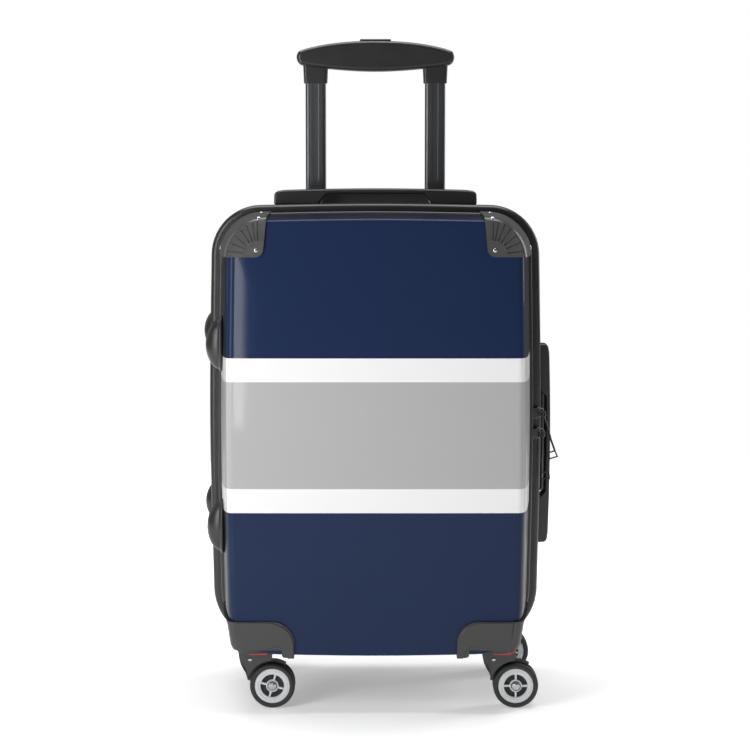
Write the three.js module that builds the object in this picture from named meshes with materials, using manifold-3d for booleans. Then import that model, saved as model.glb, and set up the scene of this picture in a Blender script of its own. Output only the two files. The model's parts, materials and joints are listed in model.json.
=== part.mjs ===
import * as THREE from "three";
import { mergeVertices } from "three/addons/utils/BufferGeometryUtils.js";
import Module from "manifold-3d";

// Hard-shell cabin suitcase on four twin-wheel casters, in millimetres, +Z up.
// The origin is on the floor under the middle of the case. The printed front faces -Y.

const wasm = await Module();
wasm.setup();

// ---------------------------------------------------------------- driving dimensions

// Case. The frame is its widest ring, and shells, tapes and linings are insets from it.
const CASE_WIDTH = 368; // of the frame at its corners, before its sides bow out
const CASE_HEIGHT = 499; // of the frame at its corners, before its ends bow out
const CASE_DEPTH = 234; // from the printed face to the back face
const SIDE_BOW = 4;
const END_BOW = 3;
const TOP_RADIUS = 54;
const BOTTOM_RADIUS = 62;
const SHELL_WALL = 2.6;
const LINING_WALL = 1.2;
const COVER_WALL = 2.8; // of the corner guards, housings and handle plates
const ZIP_Y = -2; // the plane where the two halves part
const TAPE_WIDTH = 5.8; // of each half of the zip, from that plane
const FRAME_DEPTH = 18;

// Casters
const WHEEL_DIAMETER = 50;
const WHEEL_WIDTH = 9.2;
const HUB_RADIUS = 19.4;
const AXLE_RADIUS = 3;
const TRAIL = 20.6; // from the swivel's axis to the axle
const CASTER_INSET_SIDE = 49.35; // from the frame's side to the swivel's axis
const CASTER_INSET_FRONT = 35;
const CASTER_INSET_BACK = 37;
const MOUNT_HEIGHT = 17; // from the top of the wheel up to the underside of the housing
const STEM_RADIUS = 5;
const SWIVEL_RADIUS = 19;

// Telescopic handle: three stages of tube, one in another
const TUBE_SPACING = 138;
const TUBE_WIDTH = 23.5; // of the thinnest, uppermost stage
const TUBE_DEPTH = 14;
const TUBE_WALL = 1.5;
const TUBE_CLEARANCE = 0.5;
const TUBE_INSET_BACK = 22; // from the back face to the middle of the tubes
const GRIP_LENGTH = 182;
const GRIP_DEPTH = 26;
const GRIP_RAISED = 186.5; // the grip's crown above the frame's corners, as it stands
const BUTTON_LENGTH = 36;
const BUTTON_WIDTH = 12;

// Carry handles
const CARRY_LENGTH = 230;
const CARRY_HEIGHT = 18;
const CARRY_WIDTH = 22;
const CARRY_TRAVEL = 16;
const FINGER_GAP = 12.4;
const LEG_SPACING = 184;

// Trim
const FOOT_HEIGHT = 56;
const FOOT_PROUD = 17; // of a front foot; the back ones stand out further, past the frame
const BACK_FOOT_PROUD = 23.5;
const FOOT_WIDTH = 28;
const GUARD_REACH = 67; // of a corner guard along the top, from the frame's side
const GUARD_DROP = 50;
const PULL_LENGTH = 46;

// Clearances
const GAP = 0.3; // between pieces that touch
const SLOT_GAP = 0.4; // round what slides in a slot
const SWING_GAP = 3; // round a swivelling caster
const ARCH_GAP = 2; // round a wheel under its hood

// ---------------------------------------------------------------- derived places

const HALF_WIDTH = CASE_WIDTH / 2;
const HALF_DEPTH = CASE_DEPTH / 2;
const WHEEL_RADIUS = WHEEL_DIAMETER / 2;
const FRAME_BOTTOM = WHEEL_DIAMETER + 2;
const FRAME_TOP = FRAME_BOTTOM + CASE_HEIGHT;
const CASE_MIDDLE = (FRAME_TOP + FRAME_BOTTOM) / 2;
const MOUNT_Z = WHEEL_DIAMETER + MOUNT_HEIGHT;
const BLOCK_HEIGHT = 20; // of a housing's solid block above the mount
const BLOCK_HALF = SWIVEL_RADIUS + 5;

const FRONT_TAPE_Y = ZIP_Y - TAPE_WIDTH;
const PIPING_DEPTH = 5.6;
const FRONT_RIM_Y = FRONT_TAPE_Y - PIPING_DEPTH - 2 * GAP;
const FRAME_FRONT_Y = ZIP_Y + TAPE_WIDTH + GAP;
const FRAME_BACK_Y = FRAME_FRONT_Y + FRAME_DEPTH;
const BACK_RIM_Y = FRAME_BACK_Y + GAP;
const GRIP_CROWN_Z = FRAME_TOP + GRIP_RAISED;

const CASTER_X = HALF_WIDTH - CASTER_INSET_SIDE;
const FRONT_CASTER_Y = -HALF_DEPTH + CASTER_INSET_FRONT;
const BACK_CASTER_Y = HALF_DEPTH - CASTER_INSET_BACK;
const WEB_WIDTH = 4.4; // of the fork's plate between the two wheels
const WHEEL_OFFSET = WEB_WIDTH / 2 + 0.6 + WHEEL_WIDTH / 2;
const HOOD_WIDTH = 2 * WHEEL_OFFSET + WHEEL_WIDTH - 3;
const SWING_RADIUS = Math.hypot(TRAIL + WHEEL_RADIUS, WHEEL_OFFSET + WHEEL_WIDTH / 2) + SWING_GAP;

const STAGE_STEP = TUBE_WALL + TUBE_CLEARANCE; // from one stage's outside to the next one's
const TUBE_Y = HALF_DEPTH - TUBE_INSET_BACK;
const OUTER_HALF_X = TUBE_WIDTH / 2 + 2 * STAGE_STEP;
const OUTER_HALF_Y = TUBE_DEPTH / 2 + 2 * STAGE_STEP;
const POCKET_Z = FRAME_TOP - 21; // floor of the pocket that the grip sinks into
const POCKET_HALF_X = GRIP_LENGTH / 2 + 6;
const POCKET_HALF_Y = GRIP_DEPTH / 2 + 2;
const POCKET_WALL = 3;

// ---------------------------------------------------------------- materials

const finish = (color, roughness, metalness) =>
  new THREE.MeshStandardMaterial({ color, roughness, metalness });
const print = finish(0x1f3157, 0.18, 0);
const blackShell = finish(0x1d1e20, 0.45, 0);
const darkPlastic = finish(0x3a3b3d, 0.5, 0);
const gripPlastic = finish(0x2b2c2e, 0.55, 0);
const zipFabric = finish(0x151517, 0.9, 0);
const liningFabric = finish(0x55585e, 0.9, 0);
const meshFabric = finish(0x24262b, 0.9, 0);
const webbing = finish(0x2a2d33, 0.85, 0);
const gunmetal = finish(0x55575a, 0.3, 0.9);
const steel = finish(0xb9bbbe, 0.25, 1);
const rubber = finish(0x252627, 0.7, 0);
const whitePlastic = finish(0xdcdcdc, 0.4, 0);

// ---------------------------------------------------------------- solids and meshes

// A closed geometry as a solid that can be joined and cut.
function solid(geometry) {
  geometry.deleteAttribute("normal");
  geometry.deleteAttribute("uv");
  const merged = mergeVertices(geometry, 1e-4);
  return new wasm.Manifold(
    new wasm.Mesh({
      numProp: 3,
      vertProperties: new Float32Array(merged.attributes.position.array),
      triVerts: new Uint32Array(merged.index.array),
    }),
  );
}

function geometryOf(made) {
  const mesh = made.getMesh();
  const geometry = new THREE.BufferGeometry();
  geometry.setAttribute("position", new THREE.BufferAttribute(mesh.vertProperties, 3));
  geometry.setIndex(new THREE.BufferAttribute(mesh.triVerts, 1));
  geometry.computeVertexNormals();
  return geometry;
}

function named(name, made, material) {
  const mesh = new THREE.Mesh(geometryOf(made), material);
  mesh.name = name;
  return mesh;
}

const join = (...solids) => solids.reduce((whole, piece) => whole.add(piece));

// A box between two corners.
function box(low, high) {
  const size = high.map((value, i) => value - low[i]);
  const geometry = new THREE.BoxGeometry(...size);
  geometry.translate(...low.map((value, i) => value + size[i] / 2));
  return solid(geometry);
}

// A box round a centre in X and Y, from one height to another.
const post = (x, y, halfX, halfY, z0, z1) =>
  box([x - halfX, y - halfY, z0], [x + halfX, y + halfY, z1]);

function uprightCylinder(radius, z0, z1, x = 0, y = 0, sides = 32) {
  const geometry = new THREE.CylinderGeometry(radius, radius, z1 - z0, sides);
  geometry.rotateX(Math.PI / 2);
  geometry.translate(x, y, (z0 + z1) / 2);
  return solid(geometry);
}

// An outline drawn in X and Z, extruded from y0 to y1, with an optional rounded edge.
function prism(shape, y0, y1, bevel = 0) {
  const geometry = new THREE.ExtrudeGeometry(shape, {
    depth: y1 - y0 - 2 * bevel,
    curveSegments: 5,
    bevelEnabled: bevel > 0,
    bevelThickness: bevel,
    bevelSize: bevel,
    bevelOffset: -bevel,
    bevelSegments: 2,
  });
  geometry.rotateX(Math.PI / 2);
  geometry.translate(0, y1 - bevel, 0);
  return solid(geometry);
}

// A solid of revolution about Y, from a closed profile of [radius, y] points.
function turned(profile, sides, x, y, z) {
  const closed = [...profile, profile[0]].map(([r, along]) => new THREE.Vector2(r, along));
  const geometry = new THREE.LatheGeometry(closed, sides);
  geometry.rotateY(Math.PI / sides);
  geometry.translate(x, y, z);
  return solid(geometry);
}

// ---------------------------------------------------------------- case surfaces

const CORNER_STEPS = 5;
const RUN_STEPS = 3;

// One ring of the case at depth y: a rounded rectangle whose runs bow out,
// each side lying inside the frame by its own inset. Its order is anticlockwise from the front.
function ring([y, side, top, bottom, shrink]) {
  const half = HALF_WIDTH - side;
  const zTop = FRAME_TOP - top;
  const zBottom = FRAME_BOTTOM + bottom;
  const middle = (zTop + zBottom) / 2;
  const halfHeight = (zTop - zBottom) / 2;
  const topRadius = TOP_RADIUS - shrink;
  const bottomRadius = BOTTOM_RADIUS - shrink;
  const corners = [
    [half - bottomRadius, zBottom + bottomRadius, bottomRadius, -90],
    [half - topRadius, zTop - topRadius, topRadius, 0],
    [topRadius - half, zTop - topRadius, topRadius, 90],
    [bottomRadius - half, zBottom + bottomRadius, bottomRadius, 180],
  ];
  const flat = [];
  corners.forEach(([x, z, radius, start], i) => {
    for (let step = 0; step <= CORNER_STEPS; step++) {
      const angle = THREE.MathUtils.degToRad(start + (90 * step) / CORNER_STEPS);
      flat.push([x + radius * Math.cos(angle), z + radius * Math.sin(angle)]);
    }
    const [x1, z1] = flat[flat.length - 1];
    const [nextX, nextZ, nextRadius, nextStart] = corners[(i + 1) % 4];
    const nextAngle = THREE.MathUtils.degToRad(nextStart);
    const x2 = nextX + nextRadius * Math.cos(nextAngle);
    const z2 = nextZ + nextRadius * Math.sin(nextAngle);
    for (let step = 1; step < RUN_STEPS; step++) {
      const share = step / RUN_STEPS;
      flat.push([x1 + (x2 - x1) * share, z1 + (z2 - z1) * share]);
    }
  });
  return flat.map(([x, z]) => {
    const across = x / half;
    const up = (z - middle) / halfHeight;
    const bowed = x + Math.sign(x) * SIDE_BOW * (1 - up * up);
    return [bowed, y, z + Math.sign(up) * END_BOW * (1 - across * across)];
  });
}

// A closed solid through a list of profile rows, from the lowest y to the highest.
function loft(rows) {
  const rings = [...rows].sort((a, b) => a[0] - b[0]).map(ring);
  const count = rings[0].length;
  const index = [];
  for (let i = 0; i < rings.length - 1; i++) {
    for (let k = 0; k < count; k++) {
      const a = i * count + k;
      const b = i * count + ((k + 1) % count);
      index.push(a, a + count, b + count, a, b + count, b);
    }
  }
  const last = (rings.length - 1) * count;
  for (let k = 1; k < count - 1; k++) {
    index.push(0, k, k + 1, last, last + k + 1, last + k);
  }
  const geometry = new THREE.BufferGeometry();
  geometry.setAttribute("position", new THREE.Float32BufferAttribute(rings.flat(2), 3));
  geometry.setIndex(index);
  return solid(geometry);
}

// Rows of [y, side, top, bottom, corner shrink] from the closed face to the rim.
const FRONT_ROWS = [
  [-HALF_DEPTH, 31, 15, 18, 24],
  [-HALF_DEPTH + 2, 27.6, 12.2, 15.6, 21],
  [-HALF_DEPTH + 7, 24.6, 10.8, 14.2, 18],
  [-HALF_DEPTH + 17, 22, 10.2, 13.5, 15],
  [-HALF_DEPTH / 2, 17.4, 9.7, 11.2, 12],
  [FRONT_RIM_Y, 14, 9.4, 9, 10],
];
const BACK_ROWS = [
  [HALF_DEPTH, 26, 23, 26, 24],
  [HALF_DEPTH - 4, 19, 16, 21, 19],
  [HALF_DEPTH - 11, 14.5, 11.5, 17, 15],
  [HALF_DEPTH - 25, 11.5, 8, 13, 12],
  [HALF_DEPTH / 2, 9.8, 6.2, 10, 9],
  [BACK_RIM_Y, 9.5, 6, 9, 8],
];

// The same surface moved inwards by a depth, or outwards where it is negative.
// Its rim stays where it is, or is carried past by `past`.
function moved(rows, depth, past = 0) {
  const outwards = Math.sign(rows[0][0]);
  return rows.map(([y, side, top, bottom, shrink], i) => [
    i === rows.length - 1 ? y - outwards * past : y - outwards * depth,
    side + depth,
    top + depth,
    bottom + depth,
    shrink + depth,
  ]);
}

const skin = (rows, outer, inner, past) =>
  loft(moved(rows, outer)).subtract(loft(moved(rows, inner, past)));

// A ring of the case between two depths: rows of [y, inset] outside, one inset inside.
function hoop(outside, inside, low, high) {
  const outer = loft(outside.map(([y, inset]) => [y, inset, inset * 0.7, inset * 0.8, inset * 0.8]));
  const hole = [low - 1, high + 1].map((y) => [y, inside, inside * 0.7, inside * 0.8, inside * 0.8]);
  return outer.subtract(loft(hole));
}

// ---------------------------------------------------------------- places on the case

// Each housing's block stands through the shell, so shells and linings are cut round it.
function blockSpace(side, y, clearance) {
  const half = BLOCK_HALF + clearance;
  return post(side * CASTER_X, y, half, half, 0, MOUNT_Z + BLOCK_HEIGHT + clearance);
}

const CARRY_Y = BACK_RIM_Y + 3 + CARRY_WIDTH / 2 - 1.5;
const TOP_SKIN_Z = FRAME_TOP - 6 + END_BOW; // of the back shell at mid width, under the handle
const SIDE_SKIN_X = HALF_WIDTH - 9.5 + SIDE_BOW;
const SEAT = GAP + COVER_WALL + GAP; // from the shell's skin up to the handle's underside
const LEG_HALF_LONG = 6;
const LEG_HALF_WIDE = 5;
const LEG_DEPTH = CARRY_TRAVEL + 6; // below the handle's underside
const SLEEVE_WALL = 2;
const SLEEVE_DEPTH = LEG_DEPTH + GAP + SLEEVE_WALL; // below the handle's underside

// Places a piece drawn for the top handle, with its underside at z = 0, on top or on the side.
const onTop = (made) => made.translate(0, CARRY_Y, TOP_SKIN_Z + SEAT);
const onSide = (made) => made.rotate([0, 90, 0]).translate(SIDE_SKIN_X + SEAT, CARRY_Y, CASE_MIDDLE - 23);

const LEG_SIDES = [-1, 1];

// The space of both sleeves, or of the slots in them, from a depth up to the handle's underside.
function sleeves(grow, bottom, top) {
  const halfLong = LEG_HALF_LONG + SLOT_GAP + grow;
  const halfWide = LEG_HALF_WIDE + SLOT_GAP + grow;
  return join(...LEG_SIDES.map((s) => post((s * LEG_SPACING) / 2, 0, halfLong, halfWide, bottom, top)));
}

const sleeveSpace = (clearance) => sleeves(SLEEVE_WALL + clearance, -SLEEVE_DEPTH - clearance, 1);

const pocketSpace = (wall) =>
  post(0, TUBE_Y, POCKET_HALF_X + wall, POCKET_HALF_Y + wall, POCKET_Z - (wall ? wall + 1 : 0), FRAME_TOP + 40);

const tunnelSpace = (wall) =>
  box(
    [-TUBE_SPACING / 2 - OUTER_HALF_X - 2.5 - wall, TUBE_Y - OUTER_HALF_Y - 2.5 - wall, 0],
    [TUBE_SPACING / 2 + OUTER_HALF_X + 2.5 + wall, HALF_DEPTH + 20, FRAME_TOP + 20],
  );

const SIDES = [
  ["left", -1],
  ["right", 1],
];

// ---------------------------------------------------------------- shells, frame and zip

function frontShell() {
  let shell = skin(FRONT_ROWS, 0, SHELL_WALL, 2);
  for (const [, side] of SIDES) shell = shell.subtract(blockSpace(side, FRONT_CASTER_Y, GAP));
  return shell;
}

function backShell() {
  let shell = skin(BACK_ROWS, 0, SHELL_WALL, 2);
  for (const [, side] of SIDES) shell = shell.subtract(blockSpace(side, BACK_CASTER_Y, GAP));
  return shell
    .subtract(pocketSpace(POCKET_WALL + GAP))
    .subtract(onTop(sleeveSpace(GAP)))
    .subtract(onSide(sleeveSpace(GAP)));
}

function frame() {
  const depth = FRAME_BACK_Y - FRAME_FRONT_Y;
  const rows = [
    [FRAME_FRONT_Y, 6],
    [FRAME_FRONT_Y + depth * 0.14, 2],
    [FRAME_FRONT_Y + depth * 0.36, 0],
    [FRAME_FRONT_Y + depth * 0.7, 0.6],
    [FRAME_FRONT_Y + depth * 0.92, 3],
    [FRAME_BACK_Y, 6.5],
  ];
  return hoop(rows, 17, FRAME_FRONT_Y, FRAME_BACK_Y);
}

function piping() {
  const middle = FRONT_TAPE_Y - GAP - PIPING_DEPTH / 2;
  const rows = [
    [middle - PIPING_DEPTH / 2, 12.5],
    [middle - PIPING_DEPTH / 4, 10.6],
    [middle + PIPING_DEPTH / 4, 10],
    [middle + PIPING_DEPTH / 2, 11],
  ];
  return hoop(rows, 17, middle - PIPING_DEPTH / 2, middle + PIPING_DEPTH / 2);
}

const TAPE_INSET = 11.5;
const zipTape = (y0, y1) => hoop([[y0, TAPE_INSET], [y1, TAPE_INSET]], 14, y0, y1);

// ---------------------------------------------------------------- linings

const LINING_INSET = SHELL_WALL + GAP;

function frontLining() {
  let outer = loft(moved(FRONT_ROWS, LINING_INSET));
  let inner = loft(moved(FRONT_ROWS, LINING_INSET + LINING_WALL, 2));
  for (const [, side] of SIDES) {
    outer = outer.subtract(blockSpace(side, FRONT_CASTER_Y, GAP));
    inner = inner.subtract(blockSpace(side, FRONT_CASTER_Y, GAP + LINING_WALL));
  }
  return outer.subtract(inner);
}

// The back lining also goes over the tubes, the pocket and the handles' sleeves.
function backLining() {
  let outer = loft(moved(BACK_ROWS, LINING_INSET));
  let inner = loft(moved(BACK_ROWS, LINING_INSET + LINING_WALL, 2));
  const spaces = (wall) => [
    blockSpace(-1, BACK_CASTER_Y, GAP + wall),
    blockSpace(1, BACK_CASTER_Y, GAP + wall),
    tunnelSpace(wall),
    pocketSpace(POCKET_WALL + GAP + wall),
    onTop(sleeveSpace(GAP + wall)),
    onSide(sleeveSpace(GAP + wall)),
  ];
  for (const space of spaces(0)) outer = outer.subtract(space);
  for (const space of spaces(LINING_WALL)) inner = inner.subtract(space);
  return outer.subtract(inner);
}

function meshDivider() {
  const y = FRONT_RIM_Y - 4;
  const inset = 15 + LINING_INSET + LINING_WALL + 1.6;
  return loft([
    [y - 1.6, inset, inset - 5.4, inset - 6, inset - 5],
    [y, inset, inset - 5.4, inset - 6, inset - 5],
  ]);
}

// Two elastic straps in a cross, lying on the lining over the tubes.
function packingStraps() {
  const y = TUBE_Y - OUTER_HALF_Y - 2.5 - LINING_WALL - GAP;
  const strap = (lean) =>
    box([-12.5, y - 1.6, -190], [12.5, y, 190]).rotate([0, lean, 0]).translate(0, 0, CASE_MIDDLE);
  return strap(36).add(strap(-36));
}

// ---------------------------------------------------------------- corner guards and feet

// The guard's outline on the left, in X and Z, running out past the case.
function guardOutline() {
  const inner = -HALF_WIDTH + GUARD_REACH;
  const bottom = FRAME_TOP - GUARD_DROP;
  const shape = new THREE.Shape();
  shape.moveTo(-HALF_WIDTH - 20, bottom + 1);
  shape.lineTo(inner - 10, bottom);
  shape.quadraticCurveTo(inner - 1.5, bottom, inner - 1, bottom + 9);
  shape.quadraticCurveTo(inner, bottom + 28, inner + 6, FRAME_TOP + 20);
  shape.lineTo(-HALF_WIDTH - 20, FRAME_TOP + 20);
  return shape;
}

const mirrored = (made, side) => (side > 0 ? made.mirror([1, 0, 0]) : made);

function cornerGuard(side) {
  const region = prism(guardOutline(), -HALF_DEPTH - 10, FRONT_RIM_Y - GAP);
  return mirrored(skin(FRONT_ROWS, -COVER_WALL, -GAP, 2).intersect(region), side);
}

function foot(rows, y, height, proud) {
  const side = rows[4][1];
  const geometry = new THREE.SphereGeometry(1, 16, 12);
  geometry.rotateX(Math.PI / 2);
  geometry.scale(proud, FOOT_WIDTH / 2, FOOT_HEIGHT / 2);
  geometry.translate(-HALF_WIDTH + side - SIDE_BOW + 2, y, height);
  return solid(geometry).subtract(loft(moved(rows, -GAP, 2)));
}

// ---------------------------------------------------------------- wheel housings

function housingOutline() {
  const top = FRAME_BOTTOM + 51;
  const shape = new THREE.Shape();
  shape.moveTo(-HALF_WIDTH - 20, top);
  shape.lineTo(-HALF_WIDTH - 20, 0);
  shape.lineTo(-HALF_WIDTH + 96, 0);
  shape.lineTo(-HALF_WIDTH + 94, top - 31);
  shape.quadraticCurveTo(-HALF_WIDTH + 92, top - 3, -HALF_WIDTH + 34, top);
  return shape;
}

// A cover round the bottom corner with the block that takes the caster's stem.
function wheelHousing(rows, side, casterY) {
  const outwards = Math.sign(casterY);
  const faceY = outwards * (HALF_DEPTH + 10);
  const rimY = rows[rows.length - 1][0] + outwards * GAP;
  const region = prism(housingOutline(), Math.min(faceY, rimY), Math.max(faceY, rimY));
  const cover = skin(rows, -COVER_WALL, -GAP, 2).intersect(region);
  const block = blockSpace(-1, casterY, 0).intersect(loft(moved(rows, -COVER_WALL)));
  const swing = uprightCylinder(SWING_RADIUS, -1, MOUNT_Z, -CASTER_X, casterY, 40);
  const boreTop = MOUNT_Z + BLOCK_HEIGHT - 6;
  const bore = uprightCylinder(STEM_RADIUS + SLOT_GAP, 0, boreTop, -CASTER_X, casterY, 16);
  return mirrored(cover.add(block).subtract(swing).subtract(bore), side);
}

// ---------------------------------------------------------------- telescopic handle

// A rectangular tube with cut-off corners; stage 0 is the thinnest.
function tube(stage, z0, z1) {
  const halfX = TUBE_WIDTH / 2 + stage * STAGE_STEP;
  const halfY = TUBE_DEPTH / 2 + stage * STAGE_STEP;
  const section = (inset, below) => {
    const x = halfX - inset;
    const y = halfY - inset;
    const cut = 3.5;
    const shape = new THREE.Shape([
      new THREE.Vector2(-x + cut, -y),
      new THREE.Vector2(x - cut, -y),
      new THREE.Vector2(x, -y + cut),
      new THREE.Vector2(x, y - cut),
      new THREE.Vector2(x - cut, y),
      new THREE.Vector2(-x + cut, y),
      new THREE.Vector2(-x, y - cut),
      new THREE.Vector2(-x, -y + cut),
    ]);
    const geometry = new THREE.ExtrudeGeometry(shape, {
      depth: z1 - z0 + 2 * below,
      bevelEnabled: false,
    });
    geometry.translate(0, TUBE_Y, z0 - below);
    return solid(geometry);
  };
  return section(0, 0).subtract(section(TUBE_WALL, 1));
}

const SOCKET_DEPTH = 20;
const SOCKET_WALL = 1.9;
const GRIP_BELLY_Z = GRIP_CROWN_Z - 35.5;
const SOCKET_BOTTOM_Z = GRIP_BELLY_Z - 13;
const STAGE_OVERLAP = 60;
const MIDDLE_TRAVEL = 220;
const UPPER_BOTTOM_Z = POCKET_Z - STAGE_OVERLAP + 2;
const MIDDLE_BOTTOM_Z = POCKET_Z - STAGE_OVERLAP - MIDDLE_TRAVEL;
const OUTER_BOTTOM_Z = FRAME_BOTTOM + 20;

function gripOutline() {
  const half = GRIP_LENGTH / 2;
  const z = (below) => GRIP_CROWN_Z - below;
  const shape = new THREE.Shape();
  shape.moveTo(-half + 9, z(28.5));
  shape.lineTo(-half + 30, z(31.5));
  shape.quadraticCurveTo(0, z(38.5), half - 30, z(31.5));
  shape.lineTo(half - 9, z(28.5));
  shape.bezierCurveTo(half + 2, z(26), half + 3, z(13), half - 6, z(10));
  shape.bezierCurveTo(half - 40, z(3), 40, z(0), 0, z(0));
  shape.bezierCurveTo(-40, z(0), -half + 40, z(3), -half + 6, z(10));
  shape.bezierCurveTo(-half - 3, z(13), -half - 2, z(26), -half + 9, z(28.5));
  return shape;
}

const BUTTON_TRAVEL = 3;
const BUTTON_PROUD = 2.5;
const BUTTON_DEPTH = 9;

function grip() {
  const body = prism(gripOutline(), TUBE_Y - GRIP_DEPTH / 2, TUBE_Y + GRIP_DEPTH / 2, 3);
  const halfX = TUBE_WIDTH / 2 + SOCKET_WALL;
  const halfY = TUBE_DEPTH / 2 + SOCKET_WALL;
  const top = SOCKET_BOTTOM_Z + SOCKET_DEPTH + 6;
  let whole = body;
  for (const [, side] of SIDES) {
    const x = (side * TUBE_SPACING) / 2;
    whole = whole.add(post(x, TUBE_Y, halfX, halfY, SOCKET_BOTTOM_Z, top));
  }
  for (const [, side] of SIDES) {
    const x = (side * TUBE_SPACING) / 2;
    const hole = post(
      x,
      TUBE_Y,
      TUBE_WIDTH / 2 + GAP,
      TUBE_DEPTH / 2 + GAP,
      SOCKET_BOTTOM_Z - 1,
      SOCKET_BOTTOM_Z + SOCKET_DEPTH,
    );
    whole = whole.subtract(hole);
  }
  const slot = post(
    0,
    TUBE_Y,
    BUTTON_LENGTH / 2 + SLOT_GAP,
    BUTTON_WIDTH / 2 + SLOT_GAP,
    GRIP_CROWN_Z + BUTTON_PROUD - BUTTON_DEPTH - BUTTON_TRAVEL - GAP,
    GRIP_CROWN_Z + 5,
  );
  return whole.subtract(slot);
}

function releaseButton() {
  const half = BUTTON_LENGTH / 2;
  const top = GRIP_CROWN_Z + BUTTON_PROUD;
  const shape = new THREE.Shape();
  shape.moveTo(-half, top - BUTTON_DEPTH);
  shape.lineTo(half, top - BUTTON_DEPTH);
  shape.lineTo(half, top - 2.5);
  shape.quadraticCurveTo(half - 1, top - 0.3, 0, top);
  shape.quadraticCurveTo(1 - half, top - 0.3, -half, top - 2.5);
  return prism(shape, TUBE_Y - BUTTON_WIDTH / 2, TUBE_Y + BUTTON_WIDTH / 2);
}

// ---------------------------------------------------------------- carry handles

// A handle with its underside at z = 0, its finger gap and its two legs.
function carryHandle() {
  const half = CARRY_LENGTH / 2;
  const gapHalf = half - 50;
  const shape = new THREE.Shape();
  shape.moveTo(gapHalf, 0);
  shape.lineTo(half, 0);
  shape.lineTo(half, CARRY_HEIGHT - 9);
  shape.quadraticCurveTo(half, CARRY_HEIGHT - 1.5, half - 10, CARRY_HEIGHT - 1.2);
  shape.quadraticCurveTo(0, CARRY_HEIGHT + 1.2, 10 - half, CARRY_HEIGHT - 1.2);
  shape.quadraticCurveTo(-half, CARRY_HEIGHT - 1.5, -half, CARRY_HEIGHT - 9);
  shape.lineTo(-half, 0);
  shape.lineTo(-gapHalf, 0);
  shape.lineTo(10 - gapHalf, FINGER_GAP);
  shape.lineTo(gapHalf - 10, FINGER_GAP);
  const bar = prism(shape, -CARRY_WIDTH / 2, CARRY_WIDTH / 2, 2);
  const leg = (s) => post((s * LEG_SPACING) / 2, 0, LEG_HALF_LONG, LEG_HALF_WIDE, -LEG_DEPTH, 4);
  return join(bar, ...LEG_SIDES.map(leg));
}

// The plate under a handle follows the shell, and holds the sleeves that its legs slide in.
function seated(cover, place) {
  const sleeve = place(sleeves(SLEEVE_WALL, -SLEEVE_DEPTH, -GAP - 0.5));
  const slots = place(sleeves(0, GAP - SLEEVE_DEPTH + SLEEVE_WALL - GAP, 5));
  return cover.add(sleeve).subtract(slots);
}

const backCover = (low, high) => skin(BACK_ROWS, -COVER_WALL, -GAP, 2).intersect(box(low, high));

// The top plate carries the top handle and, behind it, the pocket that the grip sinks into.
function topPlate() {
  const half = CARRY_LENGTH / 2 + 3;
  const front = CARRY_Y - CARRY_WIDTH / 2 - 1;
  const back = TUBE_Y + POCKET_HALF_Y + POCKET_WALL;
  const cover = backCover([-half, front, FRAME_TOP - 60], [half, back, FRAME_TOP + 40]);
  const within = loft(moved(BACK_ROWS, -COVER_WALL));
  const bezel = pocketSpace(POCKET_WALL).intersect(within);
  let plate = seated(cover.add(bezel), onTop).subtract(pocketSpace(0));
  for (const [, side] of SIDES) {
    const x = (side * TUBE_SPACING) / 2;
    const hole = post(x, TUBE_Y, OUTER_HALF_X + GAP, OUTER_HALF_Y + GAP, 0, FRAME_TOP + 40);
    plate = plate.subtract(hole);
  }
  return plate;
}

function sidePlate() {
  const half = CARRY_LENGTH / 2 + 3;
  const middle = CASE_MIDDLE - 23;
  const reach = CARRY_WIDTH / 2 + 1;
  const low = [0, CARRY_Y - reach, middle - half];
  const high = [HALF_WIDTH + 20, CARRY_Y + reach, middle + half];
  return seated(backCover(low, high), onSide);
}

// ---------------------------------------------------------------- zip sliders and pulls

const ZIP_SKIN_X = HALF_WIDTH - TAPE_INSET + SIDE_BOW;
const SLIDER_HEIGHT = 14;
const PIVOT_X = ZIP_SKIN_X + 12.5;

function slider(z) {
  const body = box(
    [ZIP_SKIN_X + GAP, ZIP_Y - 4.2, z - SLIDER_HEIGHT / 2],
    [ZIP_SKIN_X + 9, ZIP_Y + 4.2, z + SLIDER_HEIGHT / 2],
  );
  const bail = box([ZIP_SKIN_X + 8, ZIP_Y - 1, z - 2], [PIVOT_X + 1.8, ZIP_Y + 1, z + 5.5]);
  const eye = box([PIVOT_X - 1.2, ZIP_Y - 2, z - 0.4], [PIVOT_X + 0.6, ZIP_Y + 2, z + 3.6]);
  return body.add(bail).subtract(eye);
}

// A pull with its pivot at the origin: two cheeks, a rod and a square loop on one side.
function pull(loopSide) {
  const cheek = (s) => box([-1.3, s * 2.2 - 0.9, -6], [1.3, s * 2.2 + 0.9, 1.6]);
  const bridge = box([-1.3, -3.1, -8.5], [1.3, 3.1, -5.5]);
  const rod = box([-1, -1, -PULL_LENGTH], [1, 1, -8]);
  const x0 = loopSide > 0 ? -1 : -8;
  const loop = box([x0, -1, -PULL_LENGTH - 8], [x0 + 9, 1, -PULL_LENGTH + 1]);
  const hole = box([x0 + 1.8, -2, -PULL_LENGTH - 6.2], [x0 + 7.2, 2, -PULL_LENGTH - 0.8]);
  return join(cheek(-1), cheek(1), bridge, rod, loop.subtract(hole));
}

// ---------------------------------------------------------------- casters

const AXLE_HEAD = 4.8;
const SPOKE_DISC = 13;
const TYRE_SIDES = 24;
const WHEEL_FACE = WHEEL_OFFSET + WHEEL_WIDTH / 2;

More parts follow.
